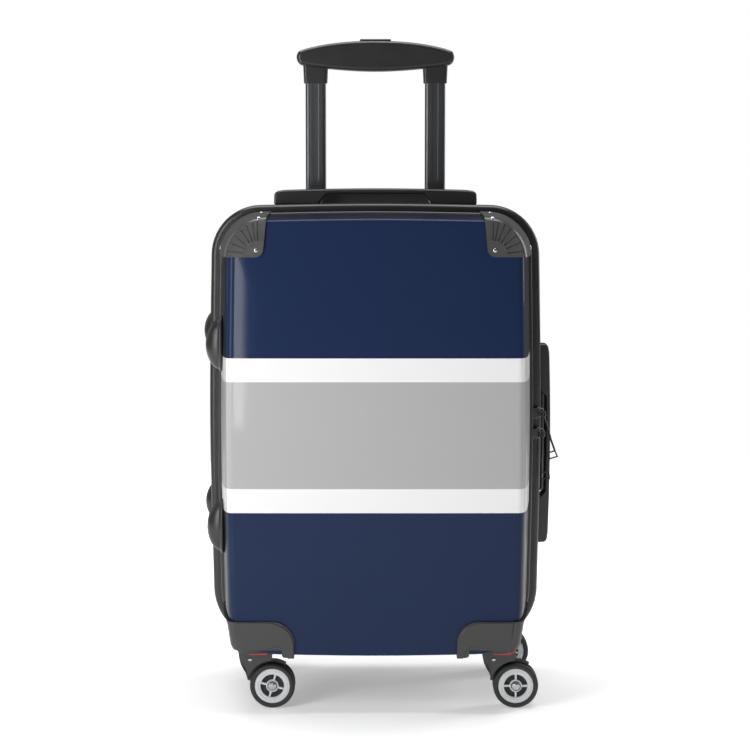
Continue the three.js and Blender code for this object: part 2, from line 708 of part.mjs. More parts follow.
// The fork in its own frame: swivel axis at x = 0, y = 0, trailing towards +X.
function fork() {
  const arch = WHEEL_RADIUS + ARCH_GAP;
  const webRadius = arch + 1;
  const top = MOUNT_Z - 0.5;
  const degrees = THREE.MathUtils.degToRad;
  const tipAngle = degrees(165);
  const endAngle = degrees(78);
  const tipX = TRAIL + arch * Math.cos(tipAngle);
  const tipZ = WHEEL_RADIUS + arch * Math.sin(tipAngle);
  const skirt = new THREE.Shape();
  skirt.moveTo(-SWIVEL_RADIUS, top);
  skirt.quadraticCurveTo(-SWIVEL_RADIUS + 1, (top + tipZ) / 2, tipX - 1.5, tipZ);
  skirt.lineTo(tipX, tipZ);
  skirt.absarc(TRAIL, WHEEL_RADIUS, arch, tipAngle, endAngle, true);
  skirt.lineTo(SWIVEL_RADIUS, WHEEL_RADIUS + arch + 5);
  skirt.lineTo(SWIVEL_RADIUS, top);
  const web = new THREE.Shape();
  web.absarc(TRAIL, WHEEL_RADIUS, webRadius, degrees(-10), degrees(170), false);
  web.lineTo(TRAIL - 7, WHEEL_RADIUS - 5);
  web.lineTo(TRAIL + 7, WHEEL_RADIUS - 7);
  const column = uprightCylinder(SWIVEL_RADIUS, top - 4, top, 0, 0, 20);
  const stem = uprightCylinder(STEM_RADIUS, top - 1, MOUNT_Z + BLOCK_HEIGHT - 8, 0, 0, 12);
  const bore = turned(
    [
      [0, -WEB_WIDTH],
      [AXLE_RADIUS + GAP, -WEB_WIDTH],
      [AXLE_RADIUS + GAP, WEB_WIDTH],
      [0, WEB_WIDTH],
    ],
    12,
    TRAIL,
    0,
    WHEEL_RADIUS,
  );
  return join(
    prism(skirt, -HOOD_WIDTH / 2, HOOD_WIDTH / 2),
    prism(web, -WEB_WIDTH / 2, WEB_WIDTH / 2),
    column,
    stem,
  ).subtract(bore);
}

function axle() {
  const end = WHEEL_FACE + 0.6;
  const neck = end - 1.2;
  const profile = [
    [0, -end],
    [AXLE_HEAD, -end],
    [AXLE_HEAD, -neck],
    [AXLE_RADIUS, -neck],
    [AXLE_RADIUS, neck],
    [AXLE_HEAD, neck],
    [AXLE_HEAD, end],
    [0, end],
  ];
  return turned(profile, 12, TRAIL, 0, WHEEL_RADIUS);
}

// Its flats, not its edges, are a wheel radius from the axle, so that it stands on one.
function tyre(side) {
  const half = WHEEL_WIDTH / 2;
  const tread = WHEEL_RADIUS / Math.cos(Math.PI / TYRE_SIDES);
  const seat = HUB_RADIUS + GAP;
  const shoulder = (tread - seat) * 0.3;
  const profile = [
    [seat, -half + 0.4],
    [tread - shoulder, -half],
    [tread, -half + 2.2],
    [tread, half - 2.2],
    [tread - shoulder, half],
    [seat, half - 0.4],
  ];
  return turned(profile, TYRE_SIDES, TRAIL, side * WHEEL_OFFSET, WHEEL_RADIUS);
}

// A hub with a raised rim and boss, and its disc set back from the outer face.
function hub(side) {
  const half = WHEEL_WIDTH / 2 - 0.6;
  const bore = AXLE_RADIUS + 0.5;
  const boss = AXLE_HEAD + 1.7;
  const profile = [
    [bore, -half],
    [HUB_RADIUS, -half],
    [HUB_RADIUS, half],
    [SPOKE_DISC, half],
    [SPOKE_DISC - 0.6, half - 4],
    [boss, half - 4],
    [boss, half],
    [bore, half],
  ];
  const facing = profile.map(([r, along]) => [r, side * along]);
  const ordered = side > 0 ? facing : facing.reverse();
  return turned(ordered, 12, TRAIL, side * WHEEL_OFFSET, WHEEL_RADIUS);
}

function caster(name, x, y, heading) {
  const group = new THREE.Group();
  group.position.set(x, y, 0);
  group.rotation.z = THREE.MathUtils.degToRad(heading);
  group.add(named(name + "_fork", fork(), darkPlastic));
  group.add(named(name + "_axle", axle(), steel));
  for (const [wheel, side] of [
    ["a", -1],
    ["b", 1],
  ]) {
    group.add(named(name + "_tyre_" + wheel, tyre(side), rubber));
    group.add(named(name + "_hub_" + wheel, hub(side), whitePlastic));
  }
  return group;
}

// ---------------------------------------------------------------- assembly

const part = new THREE.Group();
part.name = "suitcase";

// Front half
part.add(named("front_shell", frontShell(), print));
part.add(named("front_piping", piping(), darkPlastic));
part.add(named("front_zip_tape", zipTape(FRONT_TAPE_Y, ZIP_Y - GAP / 2), zipFabric));
part.add(named("front_lining", frontLining(), liningFabric));
part.add(named("mesh_divider", meshDivider(), meshFabric));

// Back half
part.add(named("back_shell", backShell(), blackShell));
part.add(named("back_frame", frame(), darkPlastic));
part.add(named("back_zip_tape", zipTape(ZIP_Y + GAP / 2, FRAME_FRONT_Y - GAP), zipFabric));
part.add(named("back_lining", backLining(), liningFabric));
part.add(named("packing_straps", packingStraps(), webbing));
part.add(named("top_plate", topPlate(), darkPlastic));
part.add(named("side_plate", sidePlate(), darkPlastic));

// Corner guards, housings and casters
for (const [word, side] of SIDES) {
  part.add(named("corner_guard_" + word, cornerGuard(side), darkPlastic));
  part.add(named("front_housing_" + word, wheelHousing(FRONT_ROWS, side, FRONT_CASTER_Y), darkPlastic));
  part.add(named("back_housing_" + word, wheelHousing(BACK_ROWS, side, BACK_CASTER_Y), darkPlastic));
  part.add(caster("front_" + word, side * CASTER_X, FRONT_CASTER_Y, 0));
  part.add(caster("back_" + word, side * CASTER_X, BACK_CASTER_Y, side > 0 ? 0 : -90));
}

// Feet on the left side
const FRONT_FOOT_Y = -HALF_DEPTH + 42;
const BACK_FOOT_Y = HALF_DEPTH - 27;
const FOOT_SPACING = 202;
for (const [word, up] of [
  ["upper", 1],
  ["lower", -1],
]) {
  const z = CASE_MIDDLE + 1 + (up * FOOT_SPACING) / 2;
  part.add(named("front_foot_" + word, foot(FRONT_ROWS, FRONT_FOOT_Y, z, FOOT_PROUD), darkPlastic));
  part.add(named("back_foot_" + word, foot(BACK_ROWS, BACK_FOOT_Y, z, BACK_FOOT_PROUD), darkPlastic));
}

// Telescopic handle
for (const [word, side] of SIDES) {
  const tubes = new THREE.Group();
  tubes.position.x = (side * TUBE_SPACING) / 2;
  tubes.add(named("outer_tube_" + word, tube(2, OUTER_BOTTOM_Z, POCKET_Z), gunmetal));
  tubes.add(named("middle_tube_" + word, tube(1, MIDDLE_BOTTOM_Z, POCKET_Z), gunmetal));
  tubes.add(named("upper_tube_" + word, tube(0, UPPER_BOTTOM_Z, SOCKET_BOTTOM_Z + SOCKET_DEPTH - GAP), gunmetal));
  part.add(tubes);
}
part.add(named("grip", grip(), gripPlastic));
part.add(named("release_button", releaseButton(), gripPlastic));

// Carry handles
part.add(named("top_carry_handle", onTop(carryHandle()), gripPlastic));
part.add(named("side_carry_handle", onSide(carryHandle()), gripPlastic));

// Zip sliders on the right, each with its pull hanging from it
for (const [word, z, lean, loopSide] of [
  ["upper", CASE_MIDDLE + 15.5, -18, -1],
  ["lower", CASE_MIDDLE - 7.5, 0, 1],
]) {
  part.add(named("zip_slider_" + word, slider(z), steel));
  const tag = named("zip_pull_" + word, pull(loopSide), steel);
  tag.position.set(PIVOT_X, ZIP_Y, z + 1.6);
  tag.rotation.y = THREE.MathUtils.degToRad(lean);
  part.add(tag);
}

export default part;
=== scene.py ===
import json
import math

import bmesh
import bpy
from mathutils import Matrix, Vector


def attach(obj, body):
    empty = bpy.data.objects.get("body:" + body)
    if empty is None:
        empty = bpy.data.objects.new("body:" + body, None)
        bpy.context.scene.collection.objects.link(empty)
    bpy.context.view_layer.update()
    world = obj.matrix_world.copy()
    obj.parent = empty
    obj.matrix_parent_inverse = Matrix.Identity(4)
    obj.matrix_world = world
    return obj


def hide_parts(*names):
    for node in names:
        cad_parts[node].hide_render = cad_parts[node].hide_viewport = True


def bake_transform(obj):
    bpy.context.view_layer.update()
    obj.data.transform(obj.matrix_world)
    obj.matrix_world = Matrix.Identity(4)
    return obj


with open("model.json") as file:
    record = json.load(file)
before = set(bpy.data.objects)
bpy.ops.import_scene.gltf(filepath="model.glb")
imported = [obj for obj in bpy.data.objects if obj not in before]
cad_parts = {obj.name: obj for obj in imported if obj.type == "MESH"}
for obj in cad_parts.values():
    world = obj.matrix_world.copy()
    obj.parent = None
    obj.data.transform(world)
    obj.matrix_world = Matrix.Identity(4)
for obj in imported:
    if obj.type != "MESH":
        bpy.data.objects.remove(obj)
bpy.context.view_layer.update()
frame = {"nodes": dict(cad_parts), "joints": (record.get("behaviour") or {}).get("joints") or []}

# A hard-shell cabin suitcase. Sizes below are in millimetres, as in the frame, and helpers turn
# them into metres. X runs to the right of the printed front, Y to the back and Z up.

MM = 0.001
HALF_WIDTH = 184
HALF_DEPTH = 117
FRAME_BOTTOM = 52
FRAME_TOP = 551
CASE_MIDDLE = (FRAME_BOTTOM + FRAME_TOP) / 2
TOP_RADIUS = 54
BOTTOM_RADIUS = 62
SIDE_BOW = 4
END_BOW = 3
SHELL_WALL = 2.6
COVER_WALL = 2.8
GAP = 0.3
JOINTS = {joint["name"]: joint for joint in frame["joints"]}
SWIVEL_X = 134.65
FRONT_SWIVEL_Y = -82
BACK_SWIVEL_Y = 80
TRAIL = 20.6
WHEEL_RADIUS = 25
WHEEL_OFFSET = 7.4
TUBE_X = 69
TUBE_Y = 95
GRIP_CROWN = 737.5
HANDLE_UNDER = 551.4
HANDLE_Y = 34.9
HANDLE_TO_SIDE = (181.9, 0, CASE_MIDDLE - 23 - HANDLE_UNDER)
WEBBING_SIZE = (378, 25)

# ---------------------------------------------------------------- modelling helpers


def mm(values):
    return tuple(value * MM for value in values)


def hold(*pieces):
    """Selects only these pieces, in object mode."""
    if bpy.context.mode != "OBJECT":
        bpy.ops.object.mode_set(mode="OBJECT")
    bpy.ops.object.select_all(action="DESELECT")
    for piece in pieces:
        piece.select_set(True)
    if pieces:
        bpy.context.view_layer.objects.active = pieces[0]
        return pieces[0]


def primitive(kind, name, at=(0, 0, 0), scale=(1, 1, 1), turn=(0, 0, 0), **settings):
    """A primitive at its size and place, with its place in its mesh."""
    hold()
    angles = [math.radians(angle) for angle in turn]
    getattr(bpy.ops.mesh, f"primitive_{kind}_add")(location=mm(at), rotation=angles, **settings)
    piece = bpy.context.object
    piece.name = piece.data.name = name
    piece.scale = mm(scale)
    bpy.ops.object.transform_apply(location=True, rotation=True, scale=True)
    return piece


def block(name, low, high):
    middle = [(a + b) / 2 for a, b in zip(low, high)]
    return primitive("cube", name, middle, [b - a for a, b in zip(low, high)], size=1)


def drum(name, radius, low, high, sides=48, turn=(0, 0, 0)):
    """A cylinder between the middles of its two ends."""
    middle = [(a + b) / 2 for a, b in zip(low, high)]
    length = math.dist(low, high)
    size = (2 * radius, 2 * radius, length)
    return primitive("cylinder", name, middle, size, turn, vertices=sides, radius=0.5, depth=1)


def edit(piece):
    hold(piece)
    bpy.ops.object.mode_set(mode="EDIT")


def pick(kind, test=lambda at, way: True, more=False):
    """Selects what passes the test, in edit mode. It is given a middle, and a normal or an edge."""
    bpy.ops.mesh.select_mode(type=kind)
    if not more:
        bpy.ops.mesh.select_all(action="DESELECT")
    mesh = bmesh.from_edit_mesh(bpy.context.object.data)
    if kind == "VERT":
        items = [(vert, vert.co, vert.normal) for vert in mesh.verts]
    elif kind == "EDGE":
        ends = [(edge, edge.verts[0].co, edge.verts[1].co) for edge in mesh.edges]
        items = [(edge, (a + b) / 2, (b - a) / MM) for edge, a, b in ends]
    else:
        items = [(face, face.calc_center_median(), face.normal) for face in mesh.faces]
    for item, at, way in items:
        if test(at / MM, way):
            item.select_set(True)
    mesh.select_flush_mode()
    bmesh.update_edit_mesh(bpy.context.object.data)


def extrude(by):
    bpy.ops.mesh.extrude_region_move(TRANSFORM_OT_translate={"value": mm(by)})


def inset(width, depth=0):
    bpy.ops.mesh.inset(thickness=width * MM, depth=depth * MM)


def bevel(width, steps=3, affect="EDGES"):
    bpy.ops.mesh.bevel(offset=width * MM, segments=steps, affect=affect)


def resize(by, about):
    bpy.ops.transform.resize(value=by, center_override=mm(about))


def move(by):
    bpy.ops.transform.translate(value=mm(by))


def outwards(piece):
    """Turns every face outwards."""
    edit(piece)
    bpy.ops.mesh.select_all(action="SELECT")
    bpy.ops.mesh.remove_doubles(threshold=0.00001)
    bpy.ops.mesh.normals_make_consistent(inside=False)
    return hold(piece)


def modify(piece, kind, **settings):
    hold(piece)
    modifier = piece.modifiers.new(kind.title(), kind)
    for key, value in settings.items():
        setattr(modifier, key, value)
    bpy.ops.object.modifier_apply(modifier=modifier.name)
    return piece


def cut(piece, tool, operation="DIFFERENCE"):
    modify(piece, "BOOLEAN", object=tool, operation=operation, solver="EXACT")
    hold(tool)
    bpy.ops.object.delete()
    return piece


def soften(piece, width, steps=2, angle=35):
    """Rounds every edge that is sharper than an angle."""
    modify(piece, "BEVEL", width=width * MM, segments=steps, limit_method="ANGLE",
           angle_limit=math.radians(angle), harden_normals=False)
    return piece


def weld(name, *pieces):
    hold(*pieces)
    if len(pieces) > 1:
        bpy.ops.object.join()
    pieces[0].name = pieces[0].data.name = name
    return pieces[0]


def copied(piece, name):
    hold(piece)
    bpy.ops.object.duplicate()
    twin = bpy.context.object
    twin.name = twin.data.name = name
    return twin


def mirrored(piece, name, ways=(True, False, False), about=(0, 0, 0)):
    twin = copied(piece, name)
    bpy.ops.transform.mirror(constraint_axis=ways, center_override=mm(about))
    bpy.ops.object.transform_apply(location=True, rotation=True, scale=True)
    return outwards(twin)


def placed(piece, by=(0, 0, 0), turn=0, axis="Z", about=(0, 0, 0)):
    """Turns a piece about an axis and then moves it, in its mesh."""
    edit(piece)
    bpy.ops.mesh.select_all(action="SELECT")
    if turn:
        bpy.ops.transform.rotate(value=-math.radians(turn), orient_axis=axis, center_override=mm(about))
    move(by)
    return hold(piece)


def drawn(name, points):
    """A line of edges, each vertex extruded from the one before, left in edit mode."""
    piece = primitive("plane", name, points[0], (0.01, 0.01, 0.01))
    edit(piece)
    bpy.ops.mesh.select_mode(type="VERT")
    bpy.ops.mesh.select_all(action="SELECT")
    bpy.ops.mesh.merge(type="CENTER")
    for here, there in zip(points, points[1:]):
        step = mm(b - a for a, b in zip(here, there))
        bpy.ops.mesh.extrude_vertices_move(TRANSFORM_OT_translate={"value": step})
    bpy.ops.mesh.select_all(action="SELECT")
    return piece


def traced(name, points, low, high, soft=0, steps=3):
    """An outline of [x, z, corner radius] points, extruded along Y, with its edges rounded."""
    piece = drawn(name, [(point[0], low, point[1]) for point in points])
    bpy.ops.mesh.edge_face_add()
    for x, z, *radius in points:
        if radius:
            pick("VERT", lambda at, way: math.hypot(at.x - x, at.z - z) < 0.02)
            bevel(radius[0], 6, "VERTICES")
    pick("FACE")
    extrude((0, high - low, 0))
    outwards(piece)
    if soft:
        edit(piece)
        pick("EDGE", lambda at, way: abs(way.y) < 0.01)
        bevel(soft, steps)
    return hold(piece)


def turned(name, profile, at, steps=64):
    """A profile of [radius, along] points, spun about a line along Y."""
    piece = drawn(name, [(at[0] + radius, at[1] + along, at[2]) for radius, along in profile])
    bpy.ops.mesh.spin(steps=steps, angle=math.tau, center=mm(at), axis=(0, 1, 0))
    return outwards(piece)


def wire(name, points, radius, closed=False):
    """A round wire through points."""
    piece = drawn(name, points)
    if closed:
        pick("VERT", lambda at, way: min(math.dist(at, points[0]), math.dist(at, points[-1])) < 0.01)
        bpy.ops.mesh.edge_face_add()
    hold(piece)
    bpy.ops.object.convert(target="CURVE")
    piece.data.bevel_depth = radius * MM
    piece.data.bevel_resolution = 3
    piece.data.use_fill_caps = True
    bpy.ops.object.convert(target="MESH")
    return outwards(piece)


# ---------------------------------------------------------------- materials


class Value:
    """A socket in a material, on which Python's own operators add Math nodes."""

    def __init__(self, finish, socket):
        self.finish = finish
        self.socket = socket

    def math(self, operation, *others):
        return self.finish.node("Math", {"operation": operation}, self, *others)

    def __add__(self, other):
        return self.math("ADD", other)

    def __sub__(self, other):
        return self.math("SUBTRACT", other)

    def __rsub__(self, other):
        return self.finish.node("Math", {"operation": "SUBTRACT"}, other, self)

    def __mul__(self, other):
        return self.math("MULTIPLY", other)

    def __gt__(self, other):
        return self.math("GREATER_THAN", other)

    __radd__ = __add__
    __rmul__ = __mul__

    def between(self, low, high):
        """1 where the value is between low and high, otherwise 0."""
        return (self > low) * (1 - (self > high))

    def ramp(self, low, high):
        """Rises smoothly from 0 to 1 between low and high."""
        settings = {"interpolation_type": "SMOOTHSTEP"}
        return self.finish.node("MapRange", settings, self, low, high, 0, 1)


class Finish:
    """A material with one principled shader."""

    def __init__(self, name, color, roughness, metallic=0, **fixed):
        self.material = bpy.data.materials.new(name)
        self.material.use_nodes = True
        self.tree = self.material.node_tree
        self.shader = self.tree.nodes["Principled BSDF"]
        self.set("Base Color", (*color, 1))
        self.set("Roughness", roughness)
        self.set("Metallic", metallic)
        for key, value in fixed.items():
            self.set(key.replace("_", " ").title().replace("Ior", "IOR"), value)
        coordinates = self.tree.nodes.new("ShaderNodeTexCoord")
        self.place = Value(self, coordinates.outputs["Object"])
        axes = self.tree.nodes.new("ShaderNodeSeparateXYZ")
        self.tree.links.new(coordinates.outputs["Object"], axes.inputs[0])
        self.x, self.y, self.z = [Value(self, socket) for socket in axes.outputs]

    def set(self, name, value):
        socket = self.shader.inputs[name]
        if isinstance(value, Value):
            self.tree.links.new(value.socket, socket)
        else:
            socket.default_value = value

    def node(self, kind, settings, *inputs, output=0, **named):
        """Any other node: its settings, then the values or links of its sockets."""
        node = self.tree.nodes.new("ShaderNode" + kind)
        for key, value in settings.items():
            setattr(node, key, value)
        for key, value in [*enumerate(inputs), *named.items()]:
            socket = node.inputs[key if isinstance(key, int) else key.replace("_", " ")]
            if isinstance(value, Value):
                self.tree.links.new(value.socket, socket)
            elif value is not None:
                socket.default_value = value
        return Value(self, node.outputs[output])

    def noise(self, scale, detail=2, stretch=(1, 1, 1)):
        place = self.node("Mapping", {}, Vector=self.place, Scale=stretch)
        return self.node("TexNoise", {}, Vector=place, Scale=scale, Detail=detail, output=0)

    def waves(self, scale, direction, profile="SIN"):
        settings = {"wave_type": "BANDS", "bands_direction": direction, "wave_profile": profile}
        return self.node("TexWave", settings, Vector=self.place, Scale=scale)

    def mix(self, share, first, second):
        """A colour between two colours."""
        node = self.tree.nodes.new("ShaderNodeMix")
        node.data_type = "RGBA"
        for socket, value in zip((node.inputs[0], node.inputs[6], node.inputs[7]), (share, first, second)):
            if isinstance(value, Value):
                self.tree.links.new(value.socket, socket)
            else:
                socket.default_value = (*value, 1) if isinstance(value, tuple) else value
        return Value(self, node.outputs[2])

    def bump(self, height, strength=0.3, distance=0.2):
        """Raises the surface by a height from 0 to 1, over a distance in millimetres."""
        self.set("Normal", self.node("Bump", {}, Height=height, Strength=strength, Distance=distance * MM))


NAVY = (0.0088, 0.0205, 0.0635)
WHITE = (0.82, 0.82, 0.825)
GREY = (0.41, 0.41, 0.415)


def print_finish():
    """Printed bands under a clear gloss coat, with painted shade darkening the shell towards black behind the face's
    rounded edge.
    """
    finish = Finish("printed_gloss", NAVY, 0.42, coat_weight=0.14, coat_roughness=0.045, specular_ior_level=0.09)
    white = finish.z.between(0.2231, 0.3919)
    grey = finish.z.between(0.2495, 0.3661)
    cloud = finish.noise(9, 3)
    navy = finish.mix(cloud, tuple(v * 0.92 for v in NAVY), tuple(v * 1.08 for v in NAVY))
    color = finish.mix(grey, finish.mix(white, navy, WHITE), GREY)
    # Painted shade: past the face's rounded edge (y above -0.1128) the print is darkened towards black, less over the
    # white band, standing in for shade on the shell's sides.
    side = (finish.y > -0.1128) * (1 - white * 0.55) * 0.8
    finish.set("Base Color", finish.mix(side, color, (0.0012, 0.0016, 0.003)))
    finish.set("Roughness", 0.38 + finish.noise(60, 4) * 0.08)
    finish.bump(finish.noise(14, 2), 0.05, 0.4)
    return finish.material


def plastic_finish(name, color, roughness, grain=0.12, **fixed):
    """Moulded plastic with a fine spark-eroded grain, a little rubbed in places."""
    finish = Finish(name, color, roughness, **fixed)
    wear = finish.noise(24, 4)
    finish.set("Base Color", finish.mix(wear, tuple(v * 0.86 for v in color), tuple(v * 1.14 for v in color)))
    finish.set("Roughness", roughness - 0.07 + wear * 0.14)
    finish.bump(finish.noise(1500, 2) + 0.4 * finish.noise(400, 2), 0.35, grain)
    return finish.material


def metal_finish(name, color, roughness, stretch=(1, 1, 1)):
    """Metal with fine marks that run one way."""
    finish = Finish(name, color, roughness, 1)
    marks = finish.noise(1400, 2, stretch)
    finish.set("Base Color", finish.mix(marks, tuple(v * 0.94 for v in color), tuple(v * 1.06 for v in color)))
    finish.set("Roughness", roughness - 0.03 + marks * 0.06)
    finish.bump(marks, 0.1, 0.002)
    return finish.material


def woven_finish(name, color, pitch, roughness=0.85, quilt=0):
    """Plain woven cloth: two sets of threads, and stitched diamonds where it is quilted."""
    finish = Finish(name, color, roughness, sheen_weight=0.25, sheen_roughness=0.5)
    scale = math.pi / pitch / 20 / MM
    threads = [finish.waves(scale, way) for way in "XYZ"]
    weave = threads[0] * threads[2] + threads[1] * 0.5
    finish.set("Base Color", finish.mix(weave, tuple(v * 0.62 for v in color), tuple(v * 1.2 for v in color)))
    finish.set("Roughness", roughness - 0.1 + finish.noise(50, 3) * 0.2)
    height = weave
    if quilt:
        size = math.pi / quilt / 20 / MM
        rising = finish.node("Mapping", {}, Vector=finish.place, Rotation=(0, math.radians(45), 0))
        settings = {"wave_type": "BANDS", "wave_profile": "SIN"}
        first = finish.node("TexWave", {**settings, "bands_direction": "X"}, Vector=rising, Scale=size)
        second = finish.node("TexWave", {**settings, "bands_direction": "Z"}, Vector=rising, Scale=size)
        height = weave * 0.12 + first.math("MAXIMUM", second).ramp(1.0, 0.8)
    finish.bump(height, 0.6, 1.6 if quilt else 0.25)
    return finish.material


def net_finish():
    """Knitted net, open between its threads."""
    finish = Finish("divider_net", (0.02, 0.021, 0.024), 0.8)
    first = finish.waves(math.pi / 1.6 / 20 / MM, "X")
    second = finish.waves(math.pi / 1.6 / 20 / MM, "Z")
    threads = first.math("MAXIMUM", second)
    finish.set("Alpha", threads.ramp(0.55, 0.7))
    finish.bump(threads, 0.5, 0.3)
    return finish.material


PRINT = print_finish()
BLACK_SHELL = plastic_finish("black_shell", (0.017, 0.0175, 0.019), 0.38, 0.2, coat_weight=0.15, coat_roughness=0.2)
TRIM = plastic_finish("dark_trim", (0.032, 0.032, 0.0335), 0.34)
# Painted highlight: the dark trim plastic made lighter, standing in for the highlights on the corner guards and on the
# top saddle.
LIT_TRIM = plastic_finish("guard_plastic", (0.058, 0.058, 0.06), 0.3)
SATIN = plastic_finish("satin_frame", (0.018, 0.018, 0.0195), 0.34)
GRIP = plastic_finish("soft_grip", (0.022, 0.022, 0.023), 0.33, 0.08)
RUBBER = plastic_finish("tyre_rubber", (0.019, 0.019, 0.02), 0.6, 0.08)
WHITE_PLASTIC = plastic_finish("white_wheel", (0.62, 0.63, 0.64), 0.36, 0.05)
RECESS = plastic_finish("dark_recess", (0.012, 0.012, 0.013), 0.6, 0.05)
RED = plastic_finish("red_strip", (0.56, 0.016, 0.018), 0.35, 0.05)
GUNMETAL = metal_finish("gunmetal_tube", (0.115, 0.118, 0.123), 0.36, (0.25, 0.25, 0.004))
CHROME = metal_finish("chrome", (0.42, 0.425, 0.44), 0.2)
ZIP_METAL = metal_finish("zip_metal", (0.07, 0.07, 0.074), 0.26)
TAPE = woven_finish("zip_tape", (0.016, 0.016, 0.018), 0.9)
LINING = woven_finish("quilted_lining", (0.085, 0.09, 0.1), 0.7, quilt=38)
WEBBING = woven_finish("webbing", (0.028, 0.03, 0.036), 1.3)
NET = net_finish()


def dress(piece, body, finish, nodes=(), angle=32):
    """Gives a finished piece its smooth shading, finish, body and the nodes it stands for."""
    hold(piece)
    bpy.ops.object.shade_smooth_by_angle(angle=math.radians(angle))
    modify(piece, "WEIGHTED_NORMAL", mode="FACE_AREA", weight=80, keep_sharp=True)
    if finish and not piece.data.materials:
        piece.data.materials.append(finish)
    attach(piece, body)
    if nodes:
        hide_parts(*nodes)
    return piece


def coat(name, finish):
    """Gives a node of the frame its finish."""
    node = frame["nodes"][name]
    node.data.materials.clear()
    node.data.materials.append(finish)


# ---------------------------------------------------------------- case surfaces


def bow_cage():
    """A lattice that bows the case's sides and ends out between its corners."""
    hold()
    bpy.ops.object.add(type="LATTICE", location=(0, 0, CASE_MIDDLE * MM))
    cage = bpy.context.object
    cage.name = "bow_cage"
    size = (2 * HALF_WIDTH, 2 * HALF_DEPTH, FRAME_TOP - FRAME_BOTTOM)
    cage.scale = mm(size)
    cage.data.points_u = cage.data.points_w = 3
    cage.data.points_v = 2
    for way in "uvw":
        setattr(cage.data, f"interpolation_type_{way}", "KEY_CARDINAL" if way != "v" else "KEY_LINEAR")
    for point in cage.data.points:
        x, _, z = point.co
        if abs(z) < 0.1 and abs(x) > 0.1:
            point.co_deform.x += math.copysign(SIDE_BOW / size[0], x)
        if abs(x) < 0.1 and abs(z) > 0.1:
            point.co_deform.z += math.copysign(END_BOW / size[2], z)
    return cage


CAGE = bow_cage()


def bowed(piece):
    return modify(piece, "LATTICE", object=CAGE)


def case_face(name, y, side, top, bottom, shrink, facing):
    """One face with the case's outline, each side lying inside the frame's by its own inset."""
    low, high = FRAME_BOTTOM + bottom, FRAME_TOP - top
    size = (2 * (HALF_WIDTH - side), high - low, 1)
    piece = primitive("plane", name, (0, y, (low + high) / 2), size, (-90 * facing, 0, 0), size=1)
    edit(piece)
    pick("VERT", lambda at, way: at.z > CASE_MIDDLE)
    bevel(TOP_RADIUS - shrink, 14, "VERTICES")
    pick("VERT", lambda at, way: at.z < low + 1)
    bevel(BOTTOM_RADIUS - shrink, 14, "VERTICES")
    pick("EDGE", lambda at, way: way.length > 60)
    bpy.ops.mesh.subdivide(number_cuts=13)
    pick("FACE")
    return piece


# From the rim to the face: [y, side, top, bottom], as insets from the frame's outline.
FRONT_ROWS = [
    (-14, 14, 9.4, 9),
    (-40, 15.6, 9.5, 10),
    (-70, 18.4, 9.8, 11.8),
    (-95, 21.2, 10.1, 13.2),
    (-104, 22.8, 10.4, 13.7),
    (-109.5, 24.3, 10.8, 14.2),
    (-112.6, 25.7, 11.4, 14.8),
    (-114.9, 27.3, 12.3, 15.6),
    (-116.4, 29.2, 13.6, 16.8),
    (-117, 31.6, 15.4, 18.4),
]
BACK_ROWS = [
    (22.4, 9.5, 6, 9),
    (40, 9.6, 6.1, 9.4),
    (60, 9.8, 6.3, 10),
    (80, 10.6, 7, 11.4),
    (95, 12, 8.6, 13.6),
    (103, 13.7, 10.4, 16),
    (109, 16, 12.8, 18.4),
    (113.4, 19, 16, 21.4),
    (116, 22.4, 19.4, 24),
    (117, 26, 23, 27),
]
CROWN = [(0.985, 0.02), (0.86, 0.3), (0.75, 0.25), (0.5, 0.12)]


def case_half(name, rows, out=0, wall=0, crown=True, bow=True):
    """Half a case: its rim's outline, inset and pulled out row by row to a rounded face.

    It lies outside the shell by out. With a wall it is a hollow shell, without one it is solid.
    """
    facing = 1 if rows[0][0] > 0 else -1
    y, side, top, bottom = rows[0]
    shrink = 10 if facing < 0 else 8
    piece = case_face(name, y, side - out, top - out, bottom - out, shrink - out, facing)
    for i, (next_y, next_side, next_top, next_bottom) in enumerate(rows[1:]):
        width = next_top - top
        depth = abs(next_y - y) + (out if i == 0 else 0)
        inset(width, depth)
        half_now = HALF_WIDTH - side + out - width
        half_next = HALF_WIDTH - next_side + out
        high = FRAME_TOP - next_top + out
        low_now = FRAME_BOTTOM + bottom - out + width
        low_next = FRAME_BOTTOM + next_bottom - out
        scale = (half_next / half_now, 1, (high - low_next) / (high - low_now))
        resize(scale, (0, next_y, high))
        y, side, top, bottom = next_y, next_side, next_top, next_bottom
    for share, depth in CROWN if crown else []:
        extrude((0, facing * depth, 0))
        resize((share, 1, share), (0, y, CASE_MIDDLE + 1))
    if not wall:
        bpy.ops.mesh.select_mode(type="EDGE")
        bpy.ops.mesh.select_all(action="DESELECT")
        bpy.ops.mesh.select_non_manifold()
        bpy.ops.mesh.edge_face_add()
    hold(piece)
    if bow:
        bowed(piece)
    if wall:
        modify(piece, "SOLIDIFY", thickness=wall * MM, offset=-1, use_even_offset=True,
               material_offset=1, material_offset_rim=1)
    return outwards(piece)


def inset_at(at):
    """How far a point lies inside the frame's outline."""
    radius = TOP_RADIUS if at.z > CASE_MIDDLE else BOTTOM_RADIUS
    across = abs(at.x) - HALF_WIDTH + radius
    up = abs(at.z - CASE_MIDDLE) - (FRAME_TOP - FRAME_BOTTOM) / 2 + radius
    return radius - math.hypot(max(across, 0), max(up, 0)) - min(max(across, up), 0)


